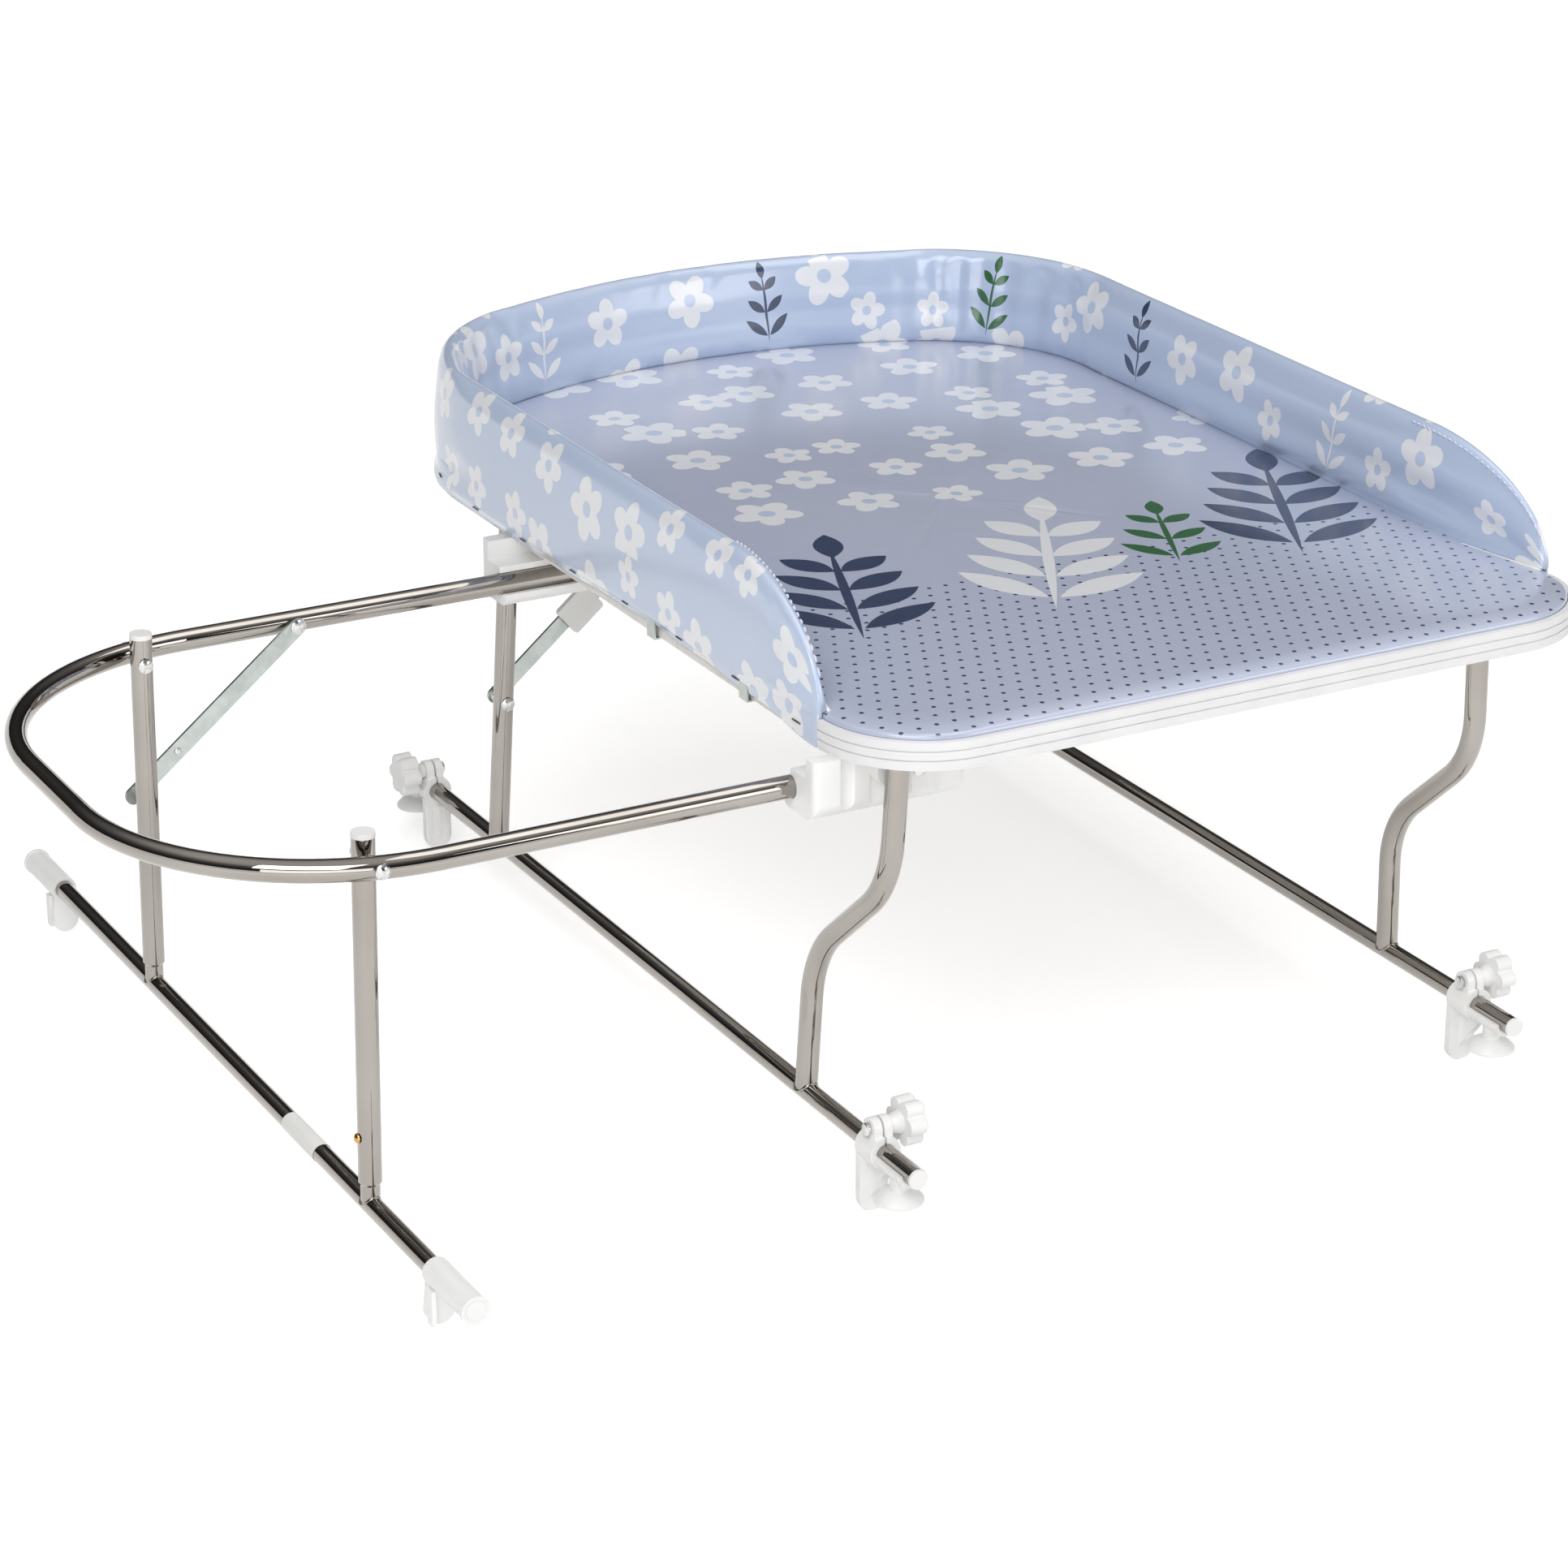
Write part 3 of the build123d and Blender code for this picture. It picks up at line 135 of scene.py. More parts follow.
class Mat:
    """A node material with short helpers for building its network."""

    def __init__(self, name, color, rough, metal=0.0):
        self.mat = bpy.data.materials.new(name)
        self.mat.use_nodes = True
        self.nodes = self.mat.node_tree.nodes
        self.links = self.mat.node_tree.links
        self.bsdf = self.nodes["Principled BSDF"]
        self.set("Base Color", (*color, 1))
        self.set("Roughness", rough)
        self.set("Metallic", metal)

    def set(self, socket, value):
        """A value, or the output of a node, for one input of the shader."""
        self.put(self.bsdf.inputs[socket], value)

    def node(self, kind, **props):
        n = self.nodes.new(kind)
        for key, value in props.items():
            setattr(n, key, value)
        return n

    def put(self, socket, value):
        if isinstance(value, bpy.types.NodeSocket):
            self.links.new(value, socket)
        else:
            socket.default_value = value

    def math(self, op, a, b=0.0, c=0.0, clamp=False):
        n = self.node("ShaderNodeMath", operation=op, use_clamp=clamp)
        for socket, value in zip(n.inputs, (a, b, c)):
            self.put(socket, value)
        return n.outputs[0]

    def times(self, a, b):
        return self.math("MULTIPLY", a, b)

    def plus(self, a, b):
        return self.math("ADD", a, b)

    def minus(self, a, b):
        return self.math("SUBTRACT", a, b)

    def length(self, x, y):
        return self.math("SQRT", self.plus(self.times(x, x), self.times(y, y)))

    def coords(self, kind="Object"):
        return self.node("ShaderNodeTexCoord").outputs[kind]

    def parts(self, vector):
        """The x, y and z of a vector."""
        n = self.node("ShaderNodeSeparateXYZ")
        self.put(n.inputs[0], vector)
        return n.outputs

    def noise(self, vector, scale, detail=3.0, rough=0.5):
        """Noise with about so many cells to the metre."""
        n = self.node("ShaderNodeTexNoise")
        self.put(n.inputs["Vector"], vector)
        n.inputs["Scale"].default_value = scale
        n.inputs["Detail"].default_value = detail
        n.inputs["Roughness"].default_value = rough
        return n.outputs["Fac"]

    def ramp(self, fac, stops):
        n = self.node("ShaderNodeValToRGB")
        set_stops(n.color_ramp, stops)
        self.put(n.inputs["Fac"], fac)
        return n.outputs["Color"]

    def span(self, value, a, b, low=0.0, high=1.0):
        """A value's place between a and b, as a number between low and high."""
        n = self.node("ShaderNodeMapRange")
        for socket, v in zip(n.inputs, (value, a, b, low, high)):
            self.put(socket, v)
        return n.outputs[0]

    def mix(self, fac, a, b):
        n = self.node("ShaderNodeMix", data_type="RGBA")
        self.put(n.inputs[0], fac)
        for socket, value in ((n.inputs[6], a), (n.inputs[7], b)):
            self.put(socket, (*value, 1) if isinstance(value, tuple) else value)
        return n.outputs[2]

    def bump(self, height, strength, distance):
        n = self.node("ShaderNodeBump")
        n.inputs["Strength"].default_value = strength
        n.inputs["Distance"].default_value = distance
        self.put(n.inputs["Height"], height)
        self.set("Normal", n.outputs[0])


def chrome():
    """Warm, dark mirror with faint smears."""
    m = Mat("chrome", (0.345, 0.322, 0.298), 0.04, 1.0)
    p = m.coords()
    tones = [(0.3, (0.315, 0.292, 0.268)), (0.7, (0.375, 0.352, 0.328))]
    m.set("Base Color", m.ramp(m.noise(p, 9, 3), tones))
    m.set("Roughness", m.span(m.noise(p, 45, 4), 0.35, 0.75, 0.02, 0.055))
    m.bump(m.noise(p, 120, 2), 0.02, 0.0004)
    return m.mat


def zinc():
    """Dull plating with a quiet spangle."""
    m = Mat("zinc_plate", (0.60, 0.63, 0.61), 0.4, 1.0)
    p = m.coords()
    cells = m.node("ShaderNodeTexVoronoi")
    m.put(cells.inputs["Vector"], p)
    cells.inputs["Scale"].default_value = 190
    cell = m.node("ShaderNodeSeparateColor")
    m.put(cell.inputs[0], cells.outputs["Color"])
    blend = m.plus(m.times(cell.outputs[0], 0.16), m.times(m.noise(p, 45, 5), 0.84))
    tones = [(0.25, (0.40, 0.44, 0.42)), (0.5, (0.50, 0.54, 0.52)), (0.75, (0.60, 0.63, 0.61))]
    m.set("Base Color", m.ramp(blend, tones))
    m.set("Roughness", m.span(blend, 0.2, 0.8, 0.3, 0.5))
    m.bump(m.noise(p, 300, 4), 0.12, 0.0004)
    return m.mat


def steel(name, color, rough):
    """Small metal parts, with darker flecks."""
    m = Mat(name, color, rough, 1.0)
    p = m.coords()
    dark = tuple(c * 0.72 for c in color)
    m.set("Base Color", m.ramp(m.noise(p, 140, 4), [(0.3, dark), (0.62, color)]))
    m.set("Roughness", m.span(m.noise(p, 260, 3), 0.3, 0.7, rough * 0.7, rough * 1.4))
    m.bump(m.noise(p, 420, 3), 0.1, 0.0003)
    return m.mat


def plastic(name, color, rough, milky):
    """Moulded plastic that lets some light in."""
    m = Mat(name, color, rough)
    p = m.coords()
    dull = tuple(c * 0.955 for c in color)
    m.set("Base Color", m.ramp(m.noise(p, 24, 4), [(0.3, dull), (0.65, color)]))
    m.set("Roughness", m.span(m.noise(p, 90, 3), 0.3, 0.7, rough * 0.8, rough * 1.25))
    m.set("Subsurface Weight", milky)
    m.set("Subsurface Radius", (0.004, 0.004, 0.004))
    m.set("Subsurface Scale", 1.0)
    m.bump(m.noise(p, 700, 2), 0.06, 0.0003)
    return m.mat


def edging():
    """White edge strip with low ridges along it."""
    ridge_pitch = 0.0045
    m = Mat("edging_plastic", (0.84, 0.84, 0.85), 0.34)
    p = m.coords()
    ridge = m.math("SINE", m.times(m.parts(p)["Z"], 2 * math.pi / ridge_pitch))
    tones = [(0.3, (0.765, 0.765, 0.775)), (0.65, (0.815, 0.815, 0.825))]
    m.set("Base Color", m.ramp(m.noise(p, 30, 4), tones))
    m.bump(m.plus(ridge, m.times(m.noise(p, 500, 2), 0.3)), 0.10, 0.0005)
    return m.mat


def chipboard():
    """Pale speckled face of the board."""
    m = Mat("board_face", (0.84, 0.82, 0.79), 0.55)
    p = m.coords()
    tones = [(0.3, (0.74, 0.71, 0.66)), (0.5, (0.85, 0.83, 0.80)), (0.8, (0.89, 0.88, 0.86))]
    m.set("Base Color", m.ramp(m.noise(p, 120, 6, 0.7), tones))
    m.bump(m.noise(p, 300, 4), 0.15, 0.0005)
    return m.mat


PAD_BLUE = ((0.465, 0.510, 0.655), (0.515, 0.555, 0.690))
RIM_BLUE = ((0.485, 0.580, 0.770), (0.535, 0.625, 0.800))
WHITE = (0.83, 0.845, 0.88)
NAVY = (0.04, 0.06, 0.125)
GREEN = (0.035, 0.14, 0.05)
PRINT_EDGE = 0.0004


class Cover(Mat):
    """Printed vinyl: soft colour, scattered blossoms and a few leaf sprigs, with a fine grain."""

    def plane(self, x, y):
        n = self.node("ShaderNodeCombineXYZ")
        self.put(n.inputs[0], x)
        self.put(n.inputs[1], y)
        return n.outputs[0]

    def inside(self, edge, far):
        """Mask that is 1 where a distance is less than an edge's."""
        return self.span(self.minus(edge, far), -PRINT_EDGE, PRINT_EDGE)

    def blossoms(self, x, y, scale, size, petals, seed):
        """Flowers, one in each jittered cell: their mask, that of their eyes, and their middles."""
        seed_y = seed * 1.7
        vec = self.plane(self.plus(x, seed), self.plus(y, seed_y))
        cells = self.node("ShaderNodeTexVoronoi", voronoi_dimensions="2D")
        self.put(cells.inputs["Vector"], vec)
        cells.inputs["Scale"].default_value = scale
        cells.inputs["Randomness"].default_value = 0.55
        to = self.node("ShaderNodeVectorMath", operation="SUBTRACT")
        self.put(to.inputs[0], vec)
        self.put(to.inputs[1], cells.outputs["Position"])
        dx, dy, _ = self.parts(to.outputs[0])
        chance = self.node("ShaderNodeSeparateColor")
        self.put(chance.inputs[0], cells.outputs["Color"])
        turn = self.times(chance.outputs[0], 6.28)
        angle = self.plus(self.math("ARCTAN2", dy, dx), turn)
        far = self.length(dx, dy)
        lobe = self.math("ABSOLUTE", self.math("COSINE", self.times(angle, petals / 2)))
        reach = self.math("MULTIPLY_ADD", lobe, 0.42, 0.58)
        own = self.math("MULTIPLY_ADD", chance.outputs[1], 0.5, 0.75)
        flower = self.inside(self.times(self.times(reach, own), size), far)
        eye = self.inside(self.times(own, size * 0.24), far)
        middle = self.parts(cells.outputs["Position"])
        return flower, eye, self.minus(middle[0], seed), self.minus(middle[1], seed_y)

    def leaf(self, x, y, cx, cy, a, b, turn):
        """Mask of one leaf, a pointed oval turned by an angle."""
        c, s = math.cos(turn), math.sin(turn)
        dx, dy = self.minus(x, cx), self.minus(y, cy)
        u = self.plus(self.times(dx, c / a), self.times(dy, s / a))
        v = self.plus(self.times(dx, -s / b), self.times(dy, c / b))
        edge = self.minus(self.minus(1.0, self.times(u, u)), self.math("ABSOLUTE", v))
        return self.span(edge, -0.03, 0.03)

    def sprig(self, x, y, cx, cy, size, lean, pairs):
        """Leaves in pairs along a stem, with one at its tip."""
        c, s = math.cos(lean), math.sin(lean)
        leaves = [(0.0, 0.5, 0.52, 0.02, math.pi / 2)]
        for k in range(pairs):
            t = k / max(1, pairs - 1)
            wide = 0.20 - 0.07 * t
            leaves.append((wide * 0.86, 0.22 + 0.60 * t, wide, 0.062, math.radians(40)))
            leaves.append((-wide * 0.86, 0.22 + 0.60 * t, wide, 0.062, math.radians(140)))
        leaves.append((0.0, 1.04, 0.14, 0.06, math.pi / 2))
        mask = None
        for lx, ly, a, b, turn in leaves:
            px = cx + size * (lx * c - ly * s)
            py = cy + size * (lx * s + ly * c)
            one = self.leaf(x, y, px, py, a * size, b * size, turn + lean)
            mask = one if mask is None else self.math("MAXIMUM", mask, one)
        return mask

    def motifs(self, x, y, tint, bed, sprigs, start=-1.0):
        """The ground with blossoms past a line, and with coloured sprigs that no blossom grows under."""
        bloom, eye, mx, my = bed
        keep = self.math("GREATER_THAN", my, start)
        drawn = []
        for cx, cy, size, lean, pairs, shade in sprigs:
            drawn.append((self.sprig(x, y, cx, cy, size, lean, pairs), shade))
            hx = cx - 0.58 * size * math.sin(lean)
            hy = cy + 0.58 * size * math.cos(lean)
            long, wide = 0.78 * size + 0.02, 0.42 * size + 0.02
            near = self.leaf(mx, my, hx, hy, long, wide, math.pi / 2 + lean)
            keep = self.times(keep, self.math("LESS_THAN", near, 0.5))
        color = self.mix(self.times(bloom, keep), tint, WHITE)
        color = self.mix(self.times(eye, keep), color, RIM_BLUE[1])
        for mask, shade in drawn:
            color = self.mix(mask, color, shade)
        self.set("Base Color", color)

    def grain(self, p, crease):
        """Sheen, fine embossing and slack creases of the vinyl."""
        fine = self.noise(p, 650, 2)
        slack = self.noise(p, 26, 2)
        self.set("Roughness", self.span(self.noise(p, 70, 3), 0.3, 0.7, 0.20, 0.26))
        self.set("Specular IOR Level", 0.7)
        self.set("Coat Weight", 0.5)
        self.set("Coat Roughness", 0.16)
        self.bump(self.plus(self.times(fine, 0.025), self.times(slack, crease)), 0.35, 0.0012)


DOT_PITCH = 0.0135
DOT_R = 0.0017
DOTS_END = 0.262
BLOSSOMS_START = 0.31


def pad_cover():
    """Print of the pad, measured from the middle of its near side."""
    m = Cover("pad_cover", PAD_BLUE[0], 0.36)
    p = m.coords()
    place = m.parts(p)
    x = m.minus(place[0], mid_x)
    y = m.minus(place[1], near_y)
    tint = m.ramp(m.noise(p, 3.5, 2), [(0.3, PAD_BLUE[0]), (0.7, PAD_BLUE[1])])
    bed = m.blossoms(x, y, 14.0, 0.024, 5, 0.3)
    # Small dots in a staggered grid along the near side, on the flat of the pad only
    row = m.math("FLOOR", m.math("DIVIDE", y, DOT_PITCH))
    shift = m.times(m.math("MODULO", row, 2.0), DOT_PITCH / 2)
    dx = m.minus(m.math("FLOORED_MODULO", m.plus(x, shift), DOT_PITCH), DOT_PITCH / 2)
    dy = m.minus(m.math("FLOORED_MODULO", y, DOT_PITCH), DOT_PITCH / 2)
    dot = m.span(m.minus(DOT_R, m.length(dx, dy)), -0.0003, 0.0003)
    flat = m.math("GREATER_THAN", place[2], pad_z - 0.0012)
    near = m.span(y, DOTS_END, DOTS_END - 0.001)
    tint = m.mix(m.times(m.times(dot, flat), near), tint, NAVY)
    sprigs = (
        (-0.205, 0.185, 0.185, -0.38, 4, NAVY),
        (-0.055, 0.175, 0.205, -0.50, 4, WHITE),
        (0.075, 0.215, 0.115, -0.42, 3, GREEN),
        (0.165, 0.190, 0.205, -0.46, 4, NAVY),
    )
    m.motifs(x, y, tint, bed, sprigs, BLOSSOMS_START)
    m.grain(p, 0.5)
    return m.mat


def rim_cover(length, inner_part):
    """Print of the rim, measured along it and up its inner side."""
    m = Cover("rim_cover", RIM_BLUE[0], 0.36)
    p = m.coords()
    along, up, _ = m.parts(m.coords("UV"))
    tint = m.ramp(m.noise(p, 4.5, 2), [(0.3, RIM_BLUE[0]), (0.7, RIM_BLUE[1])])
    bed = m.blossoms(along, up, 16.0, 0.021, 5, 2.3)
    sprigs = []
    for share, lean, shade in (
        (0.300, 0.12, NAVY),
        (0.415, -0.1, WHITE),
        (0.535, 0.08, NAVY),
        (0.640, -0.14, GREEN),
        (0.745, 0.1, NAVY),
        (0.880, -0.08, WHITE),
    ):
        sprigs.append((length * share, inner_part * 0.12, 0.060, lean, 3, shade))
    m.motifs(along, up, tint, bed, sprigs)
    m.grain(p, 0.9)
    return m.mat


CHROME = chrome()
ZINC = zinc()
STEEL = steel("plated_steel", (0.66, 0.66, 0.65), 0.19)
DARK = steel("staple_steel", (0.16, 0.15, 0.14), 0.4)
BRASS = steel("brass", (0.62, 0.36, 0.13), 0.19)
PLASTIC = plastic("white_plastic", (0.90, 0.90, 0.89), 0.36, 0.2)
CUP = plastic("soft_cup", (0.88, 0.89, 0.88), 0.37, 0.4)
LABEL = plastic("blank_label", (0.84, 0.84, 0.82), 0.5, 0.0)
THREAD = plastic("seam_thread", (0.70, 0.74, 0.86), 0.6, 0.0)
BOARD = chipboard()
EDGING = edging()

by_slot = {
    "chrome_tube": CHROME,
    "zinc_strip": ZINC,
    "plated_steel": STEEL,
    "brass_rivet": BRASS,
    "white_plastic": PLASTIC,
    "soft_cup": CUP,
    "board": BOARD,
}
slots = {s["node"]: s["material_slot"] for s in frame["record"]["subparts"]}
for node_name, node in frame["nodes"].items():
    finish = EDGING if node_name == "table_edging" else by_slot.get(slots[node_name])
    if finish is not None:
        node.data.materials.clear()
        node.data.materials.append(finish)


# Mesh helpers
def new_object(name, bm, mat, body="table"):
    """Mesh object from a bmesh, with its material and its body."""
    mesh = bpy.data.meshes.new(name)
    bm.to_mesh(mesh)
    bm.free()
    for poly in mesh.polygons:
        poly.use_smooth = True
    mesh.materials.append(mat)
    obj = bpy.data.objects.new(name, mesh)
    bpy.context.scene.collection.objects.link(obj)
    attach(obj, body)
    return obj


def bridge(bm, rings):
    """Faces between each ring of points and the next."""
    for p, q in zip(rings, rings[1:]):
        for j in range(len(p)):
            i = (j + 1) % len(p)
            bm.faces.new((p[j], p[i], q[i], q[j]))


def tube(bm, rings):
    """Closed skin over rings of points, with flat ends."""
    bridge(bm, rings)
    bm.faces.new(list(reversed(rings[0])))
    bm.faces.new(rings[-1])


def face_outward(bm):
    bmesh.ops.recalc_face_normals(bm, faces=bm.faces)


def swell(obj, pins, pressure, frames, cap, shrink):
    """Inflate a closed cover as cloth, hold the pinned points, and keep each point near its start."""
    scene = bpy.context.scene
    start = [v.co.copy() for v in obj.data.vertices]
    group = obj.vertex_groups.new(name="held")
    group.add(pins, 1.0, "REPLACE")
    mod = obj.modifiers.new("swell", "CLOTH")
    cloth = mod.settings
    cloth.quality = 6
    cloth.mass = 0.25
    cloth.tension_stiffness = 12
    cloth.compression_stiffness = 9
    cloth.shear_stiffness = 6
    cloth.bending_stiffness = 0.6
    cloth.use_pressure = True
    cloth.uniform_pressure_force = pressure
    cloth.shrink_min = shrink
    cloth.vertex_group_mass = "held"
    cloth.pin_stiffness = 1.0
    cloth.effector_weights.gravity = 0.0
    mod.point_cache.frame_start = 1
    mod.point_cache.frame_end = frames
    for f in range(1, frames + 1):
        scene.frame_set(f)
    deps = bpy.context.evaluated_depsgraph_get()
    moved = [v.co.copy() for v in obj.evaluated_get(deps).data.vertices]
    obj.modifiers.remove(mod)
    for v, a, b in zip(obj.data.vertices, start, moved):
        step = b - a
        if step.length > cap:
            step *= cap / step.length
        v.co = a + step
    obj.vertex_groups.remove(group)
    scene.frame_set(1)


# Padded rim: a crowned section carried round three sides, thinner and lower at its near ends
ROW_STEP = 0.006
RIM_THICK = 0.028
RIM_END = 0.140
RIM_TIP = 0.007
RIM_LOWEST = 0.10
INNER_LEAN = 0.0080
INNER_BELLY = 0.0010
INNER_TUCK = 0.0024
OUTER_LEAN = 0.0026
OUTER_BELLY = 0.0016
CROWN_R = RIM_THICK / 2 - 0.0061
CROWN_MID = RIM_THICK / 2 - 0.0028
CROWN_RISE = 0.0125
SKIRT_BACK = 0.0002
rim_h = rim_top - pad_z
skirt_h = pad_z - board_z - 0.0012

# Folds in the corners, scallops between the staples, and the skirt's edge, which rises behind the near ends
FOLD_DEEP = 0.0017
FOLD_PITCH = 0.027
FOLD_SPREAD = 0.085
SCALLOP_DEEP = 0.0016
SCALLOP_START = 0.03
EDGE_RISE = 0.0062
EDGE_RISE_AT = 0.24
EDGE_RISE_SPREAD = 0.13
EDGE_DROP = 0.0055
EDGE_DROP_SPREAD = 0.05


def rim_section():
    """Ring of the section: offset inward from the outer face, height, and 1 where the cover is held."""
    t, h = RIM_THICK, rim_h
    foot = [(t - t * 0.26 * k, 0.0, 1) for k in range(4)]
    ring = foot[:1]
    for k in range(10):
        up = k / 9
        z = 0.004 + (h - 0.018) * up
        lean = INNER_LEAN * up**2 - INNER_BELLY * math.sin(math.pi * up)
        lean += INNER_TUCK * bell(z, 0.40 * h, 0.008)
        ring.append((t - 0.0008 - lean, z, 0))
    for k in range(1, 8):
        a = math.pi * k / 8
        ring.append((CROWN_MID + CROWN_R * math.cos(a), h - 0.0135 + CROWN_RISE * math.sin(a), 0))
    for k in range(10):
        up = 1 - k / 9
        ring.append((OUTER_LEAN * up - OUTER_BELLY * math.sin(math.pi * up), (h - 0.014) * up, 0))
    for k in range(1, 6):
        ring.append((SKIRT_BACK, -skirt_h * k / 5, 1 if k > 3 else 0))
    ring.append((0.0027, -skirt_h, 1))
    for k in range(3):
        ring.append((0.0028, -skirt_h * (0.7 - 0.34 * k), 1))
    return ring + foot[:0:-1]


def spot_nearest(offset, height):
    """Index of the section's point nearest to an offset and a height."""
    section = rim_section()
    return min(range(len(section)), key=lambda k: abs(section[k][0] - offset) + abs(section[k][1] - height))


SKIRT_SPOT = spot_nearest(SKIRT_BACK, -0.6 * skirt_h)
SEAM_SPOT = spot_nearest(0.76 * RIM_THICK, rim_h - 0.005)
CROWN_SPOT = spot_nearest(CROWN_MID, rim_h)

# Small pieces on the rim
STAPLE_PITCH = 0.085
FIRST_STAPLE_ROW = 5
STAPLE_HALF = 0.0052
STAPLE_WIRE = 0.0006
THREAD_R = 0.0009
SEAM_STITCHES = 24
PIPING_ROWS = 14
PIPING_HALF = 0.0015
PIPING_HIGH = 0.0013


def near_end(end):
    """Height and thickness of the rim, as shares of the full ones, so far from its nearer end."""
    t = min(1.0, end / RIM_END)
    tall = max(RIM_LOWEST, math.sqrt(max(0.0, 1 - (1 - t) ** 2)))
    tip = RIM_TIP / RIM_THICK
    return tall, tip + (1 - tip) * (1 - (1 - t) ** 1.8)


def rim_row(bm, place, section, end, bend):
    """One row of the rim's points, with the folds of the corners and the drawn-up edge of the skirt."""
    x, y, nx, ny, s = place
    tall, thick = near_end(end)
    drawn_up = EDGE_RISE * bell(end, EDGE_RISE_AT, EDGE_RISE_SPREAD)
    drawn_up -= EDGE_DROP * bell(end, 0.0, EDGE_DROP_SPREAD)
    fold = FOLD_DEEP * bend * math.sin(2 * math.pi * s / FOLD_PITCH + 2.2 * math.sin(s * 31))
    wave = math.cos(2 * math.pi * (s - SCALLOP_START) / STAPLE_PITCH)
    scallop = SCALLOP_DEEP * (0.5 - 0.5 * wave)
    row = []
    for d, z, _ in section:
        inward = d * thick if z >= 0 else d
        if z > 0 and d > 0.6 * RIM_THICK:
            inward += fold * math.sin(math.pi * min(1.0, z / rim_h)) ** 0.7
        rise = z * tall if z > 0 else z * (1 - drawn_up / skirt_h)
        if z < -0.8 * skirt_h:
            rise += scallop
        row.append(bm.verts.new((x - nx * inward, y - ny * inward, pad_z + 0.0004 + rise)))
    return row


def build_rim():
    """The rim's mesh, with the print's coordinates, and the indices of its held points."""
    line, length = rim_line(rim_out, ROW_STEP)
    section = rim_section()
    count = len(section)
    across = [0.0]
    for (d0, z0, _), (d1, z1, _) in zip(section, section[1:]):
        across.append(across[-1] + math.hypot(d1 - d0, z1 - z0))
    first = turn_y - rim_front + (BACK_R + rim_out) * turn_angle / 2
    corners = (first, length - first)
    bm = bmesh.new()
    layer = bm.loops.layers.uv.new("print")
    rows = []
    held = []
    for place in line:
        s = place[4]
        end = min(s, length - s)
        bend = max(bell(s, corner, FOLD_SPREAD) for corner in corners)
        row = rim_row(bm, place, section, end, bend)
        rows.append(row)
        held += [v for v, (_, _, pin) in zip(row, section) if pin or end < 0.004]
    for a, b, here, there in zip(rows, rows[1:], line, line[1:]):
        for k in range(count):
            j = (k + 1) % count
            face = bm.faces.new((a[k], a[j], b[j], b[k]))
            up = across[k]
            next_up = across[j] if j else up + 0.004
            uvs = ((here[4], up), (here[4], next_up), (there[4], next_up), (there[4], up))
            for loop, uv in zip(face.loops, uvs):
                loop[layer].uv = uv
    bm.faces.new(rows[0])
    bm.faces.new(list(reversed(rows[-1])))
    bm.normal_update()
    face_outward(bm)
    bm.verts.index_update()
    pins = [v.index for v in held]
    obj = new_object("padded_rim", bm, rim_cover(length, across[CROWN_SPOT]))
    return obj, pins, count, len(rows)


rim, rim_pins, RIM_COUNT, RIM_ROWS = build_rim()
swell(rim, rim_pins, pressure=3.0, frames=14, cap=0.004, shrink=0.004)
rounding = rim.modifiers.new("round", "SUBSURF")
rounding.levels = 1
rounding.render_levels = 1
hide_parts("bolster", "rim_skirt")


# Pad: thin foam under one printed sheet, with a soft crown and a rounded edge
LINE_POINTS = 48
ARC_POINTS = 16
PAD_RINGS = 24
PAD_INSET = 0.0026


def arc_points(cx, cy, radius, first, last, count):
    """Points along an arc, without its end."""
    points = []
    for k in range(count):
        a = first + (last - first) * k / count
        points.append((cx + radius * math.cos(a), cy + radius * math.sin(a)))
    return points


def line_points(x0, y0, x1, y1):
    """Points along a straight stretch, without its end."""
    points = []
    for k in range(LINE_POINTS):
        t = k / LINE_POINTS
        points.append((x0 + (x1 - x0) * t, y0 + (y1 - y0) * t))
    return points


def pad_outline(grow):
    """Outline of the top, moved out by a length, from the near left corner to the right."""
    side = half_w + grow
    near_x = half_w - NEAR_R
    near_turn = near_y + NEAR_R
    near_r, back_r = NEAR_R + grow, BACK_R + grow
    left_turn = math.pi - turn_angle
    points = arc_points(-near_x, near_turn, near_r, math.pi, 1.5 * math.pi, ARC_POINTS)
    points += line_points(-near_x, near_y - grow, near_x, near_y - grow)
    points += arc_points(near_x, near_turn, near_r, -math.pi / 2, 0.0, ARC_POINTS)
    points += line_points(side, near_turn, side, turn_y)
    points += arc_points(corner_x, turn_y, back_r, 0.0, turn_angle, ARC_POINTS)
    points += arc_points(0.0, bow_y, BOW_R + grow, turn_angle, left_turn, LINE_POINTS)
    points += arc_points(-corner_x, turn_y, back_r, left_turn, math.pi, ARC_POINTS)
    points += line_points(-side, turn_y, -side, near_turn)
    return [(mid_x + x, y) for x, y in points]


